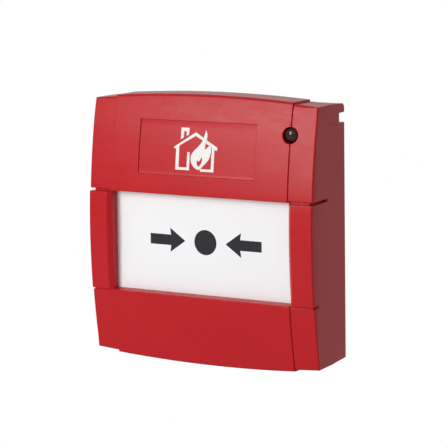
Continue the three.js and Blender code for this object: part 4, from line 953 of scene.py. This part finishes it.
def wireThrough(bm, points, radius, materialIndex=0):
    curve = bpy.data.curves.new("wire", "CURVE")
    curve.dimensions = "3D"
    curve.bevel_depth = radius * mm
    curve.bevel_resolution = 3
    curve.use_fill_caps = True
    spline = curve.splines.new("POLY")
    spline.points.add(len(points) - 1)
    for point, place in zip(spline.points, points):
        point.co = (*(Vector(place) * mm), 1)
    holder = bpy.data.objects.new("wire", curve)
    mesh = bpy.data.meshes.new_from_object(holder)
    first = len(bm.faces)
    bm.from_mesh(mesh)
    bm.faces.ensure_lookup_table()
    for face in bm.faces[first:]:
        face.material_index = materialIndex
    bpy.data.objects.remove(holder)
    bpy.data.curves.remove(curve)
    bpy.data.meshes.remove(mesh)


def makeSpring(name, look):
    low, high = boxOf(look["node"])
    middle = middleOf(look["node"])
    radius = look["coil"]
    steps = 24 * look["turns"]
    rise = high.z - low.z - look["wire"]
    points = []
    for step in range(steps + 1):
        share = step / steps
        eased = min(1.0, max(0.0, (share * look["turns"] - flatEnd) / (look["turns"] - 2 * flatEnd)))
        turn = math.tau * look["turns"] * share
        points.append((middle.x + radius * math.cos(turn), middle.y + radius * math.sin(turn),
                       low.z + look["wire"] / 2 + rise * eased))
    bm = bmesh.new()
    wireThrough(bm, points, look["wire"] / 2)
    closeSkin(bm)
    body = None if look["flag"] else "base"
    piece = keep(name, bm, body, "plainSteel", [look["node"]], smooth=60.0)
    if look["flag"]:  # it rides no body, and its placement is baked into its points
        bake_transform(piece)


for name, look in springs.items():
    makeSpring(name, look)
print("springs ready")


# Parts on the board

leads = {  # mm
    "radius": 0.3,
    "reach": 4.4,  # from a lying part's middle to each lead
    "bend": 0.5,
    "inside": 0.2, "footInside": 0.1,  # where they start in a lying and in a standing part
    "end": -7.4,  # behind the board
}
axialParts = {  # distance from the part's line, and place along it, mm
    "resistor": [(0.0, -3.0), (0.72, -3.0), (1.0, -2.86), (1.1, -2.6), (1.1, -2.0), (0.97, -1.65),
                 (0.93, -1.25), (0.93, 1.25), (0.97, 1.65), (1.1, 2.0), (1.1, 2.6), (1.0, 2.86),
                 (0.72, 3.0), (0.0, 3.0)],
    "diode": [(0.0, -2.3), (0.8, -2.3), (0.95, -2.15), (0.95, 2.15), (0.8, 2.3), (0.0, 2.3)],
}


def makeAxial(node, name, profile, finish):
    x, _, z = middleOf(node)
    y = boxOf(node)[0].y + max(radius for radius, along in profile)
    bm = spunBody(profile, (x, y, z), 32, alongX=True)
    start, reach, bend = abs(profile[0][1]) - leads["inside"], leads["reach"], leads["bend"]
    for side in (-1, 1):
        corner = [(x + side * (reach - bend + bend * math.sin(turn)), y + bend - bend * math.cos(turn), z)
                  for turn in (math.pi / 2 * step / 6 for step in range(7))]
        route = [(x + side * start, y, z), *corner, (x + side * reach, leads["end"], z)]
        wireThrough(bm, route, leads["radius"], materialIndex=1)
    closeSkin(bm)
    keep(name, bm, "base", finish, [node], more=("plainSteel",))


makeAxial("alarm_resistor", "alarmResistor", axialParts["resistor"], "resistorCoat")
makeAxial("lamp_resistor", "lampResistor", axialParts["resistor"], "resistorCoat")
makeAxial("diode", "diodeBody", axialParts["diode"], "diodeCase")

standing = {
    # the profiles: distance from the middle and place on the depth axis, mm
    "capacitor": {"node": "capacitor", "slot": "black_plastic", "finish": "canSleeve", "lead": 1.0,
                  "profile": [(0.0, -13.78), (1.9, -13.78), (2.0, -13.9), (2.25, -13.88),
                              (2.42, -13.7), (2.5, -13.4), (2.5, -10.95), (2.36, -10.75),
                              (2.36, -10.5), (2.5, -10.3), (2.5, -10.05), (2.4, -9.9), (0.0, -9.9)]},
    "statusLamp": {"node": "status_lamp", "slot": "lamp", "finish": "lampPlastic", "lead": 1.27,
                   "profile": [(0.0, -18.61), (0.39, -18.56), (0.75, -18.41), (1.06, -18.17),
                               (1.3, -17.86), (1.45, -17.5), (1.5, -17.11), (1.5, -14.35),
                               (1.56, -14.31), (1.85, -14.31), (1.9, -14.26), (1.9, -13.36),
                               (1.85, -13.31), (0.0, -13.31)]},
}


def makeStanding(name, look):
    x, _, z = middleOf(look["node"])
    bm = spunBody(look["profile"], (x, 0, z), 40)
    foot = look["profile"][-1][1]
    for side in (-1, 1):
        lead = x + side * look["lead"]
        route = [(lead, foot - leads["footInside"], z), (lead, leads["end"], z)]
        wireThrough(bm, route, leads["radius"], materialIndex=1)
    closeSkin(bm)
    keep(name, bm, "base", look["finish"], [look["node"]], more=("plainSteel",))


for name, look in standing.items():
    makeStanding(name, look)

board = {  # mm
    "front": -9.6, "back": -8.0,
    "foil": 0.05,
    "terminalFoot": 0.45,  # from the lower end of a switch terminal up to its pad
    "padRadius": 0.95, "holeRadius": 0.36,
    "trackWidth": 0.7,
    # the pads that each track joins, in the order of boardPads
    "joins": [(0, 2), (3, 7), (1, 10), (5, 13), (4, 15), (9, 11), (6, 14), (8, 12)],
    "firstTurn": 1.6, "turnStep": 0.9,  # from the first pad to the track's turn
}


def boardPads():
    places = []
    reach = leads["reach"]
    gaps = {"alarm_resistor": reach, "lamp_resistor": reach, "diode": reach,
            "capacitor": standing["capacitor"]["lead"], "status_lamp": standing["statusLamp"]["lead"]}
    for node, gap in gaps.items():
        middle = middleOf(node)
        places += [(middle.x - gap, middle.z), (middle.x + gap, middle.z)]
    for number in (1, 2, 3):
        node = f"switch_terminal_{number}"
        places.append((middleOf(node).x, boxOf(node)[0].z + board["terminalFoot"]))
    for number in (1, 2, 3, 4):
        middle = middleOf(f"terminal_clamp_{number}")
        places.append((middle.x, middle.z))
    return places


def makeBoardFoil():
    pads = boardPads()
    bm = bmesh.new()
    ring = [(board["padRadius"] * math.cos(turn), board["padRadius"] * math.sin(turn))
            for turn in (math.tau * step / 24 for step in range(24))]
    hole = [(x * board["holeRadius"] / board["padRadius"], z * board["holeRadius"] / board["padRadius"])
            for x, z in ring]
    for x, z in pads:
        rim = [(x + a, z + b) for a, b in ring]
        inside = [(x + a, z + b) for a, b in hole]
        for face in (board["front"] - board["foil"] * 0.4, board["back"] + board["foil"] * 0.4):
            flatShape(bm, rim, face, board["foil"], [inside])
    half = board["trackWidth"] / 2
    for index, (first, last) in enumerate(board["joins"]):
        (x0, z0), (x1, z1) = pads[first], pads[last]
        turnX = x0 + (board["firstTurn"] + board["turnStep"] * index) * (1 if x1 > x0 else -1)
        corners = [(x0, z0), (turnX, z0), (turnX, z1), (x1, z1)]
        for (ax, az), (bx, bz) in zip(corners, corners[1:]):
            lowX, highX = sorted((ax, bx))
            lowZ, highZ = sorted((az, bz))
            strip = [(lowX - half, lowZ - half), (highX + half, lowZ - half),
                     (highX + half, highZ + half), (lowX - half, highZ + half)]
            flatShape(bm, strip, board["back"] + board["foil"] * 0.3, board["foil"] * 0.6)
    closeSkin(bm, 0.0005)
    keep("boardFoil", bm, "base", "tinnedBrass", smooth=20.0)


makeBoardFoil()
print("board parts ready")


# Pieces that keep their solid's shape and get softened edges

softened = {
    # node: piece, body, finish, slot, width of the rounding, mm
    "mounting_plate": ("mountingPlate", "base", "greyMoulding", "grey_plastic", 0.25),
    "chassis": ("chassisFrame", "base", "blackMoulding", "black_plastic", 0.2),
    "element_carrier": ("elementCarrier", "element", "greyMoulding", "grey_plastic", 0.2),
    "flag_bridge": ("flagBridge", "base", "greyMoulding", "grey_plastic", 0.25),
    "operated_flag": ("operatedFlag", "flag", "flagMoulding", "yellow_plastic", 0.2),
    "barrel_clip": ("barrelClip", "base", "blackMoulding", "black_plastic", 0.2),
    "reset_barrel": ("resetBarrel", "reset", "blackMoulding", "black_plastic", 0.12),
    "switch_body": ("switchBody", "base", "blackMoulding", "black_plastic", 0.18),
    "switch_lever": ("switchLever", "lever", "plainSteel", "steel", 0.06),
    "terminal_block": ("terminalBlock", "base", "greenMoulding", "terminal_green", 0.18),
    "terminal_clamp_1": ("terminalClamp1", "base", "tinnedBrass", "brass", 0.1),
    "terminal_clamp_2": ("terminalClamp2", "base", "tinnedBrass", "brass", 0.1),
    "terminal_clamp_3": ("terminalClamp3", "base", "tinnedBrass", "brass", 0.1),
    "terminal_clamp_4": ("terminalClamp4", "base", "tinnedBrass", "brass", 0.1),
    "circuit_board": ("circuitBoard", "base", "boardLacquer", "board", 0.06),
}
softEdges = {"sharpFrom": 40.0, "shortest": 0.8}  # degrees, mm
flag = {"proud": 0.45, "plateMiddle": -21.5}  # its plate lies this far in front, clear of the element


def softenPiece(node, name, body, finish, slot, width):
    bm = mergedCopy(node)
    if node == "operated_flag":
        bringForward(bm, flag["plateMiddle"], flag["proud"])
    weighEdges(bm, width, softEdges["sharpFrom"], softEdges["shortest"])
    piece = keep(name, bm, body, finish, [node])
    roundEdges(piece, 1.0, segments=2, limit=None, clamp=False)


for node, look in softened.items():
    softenPiece(node, *look)
print("softened pieces ready:", len(softened))
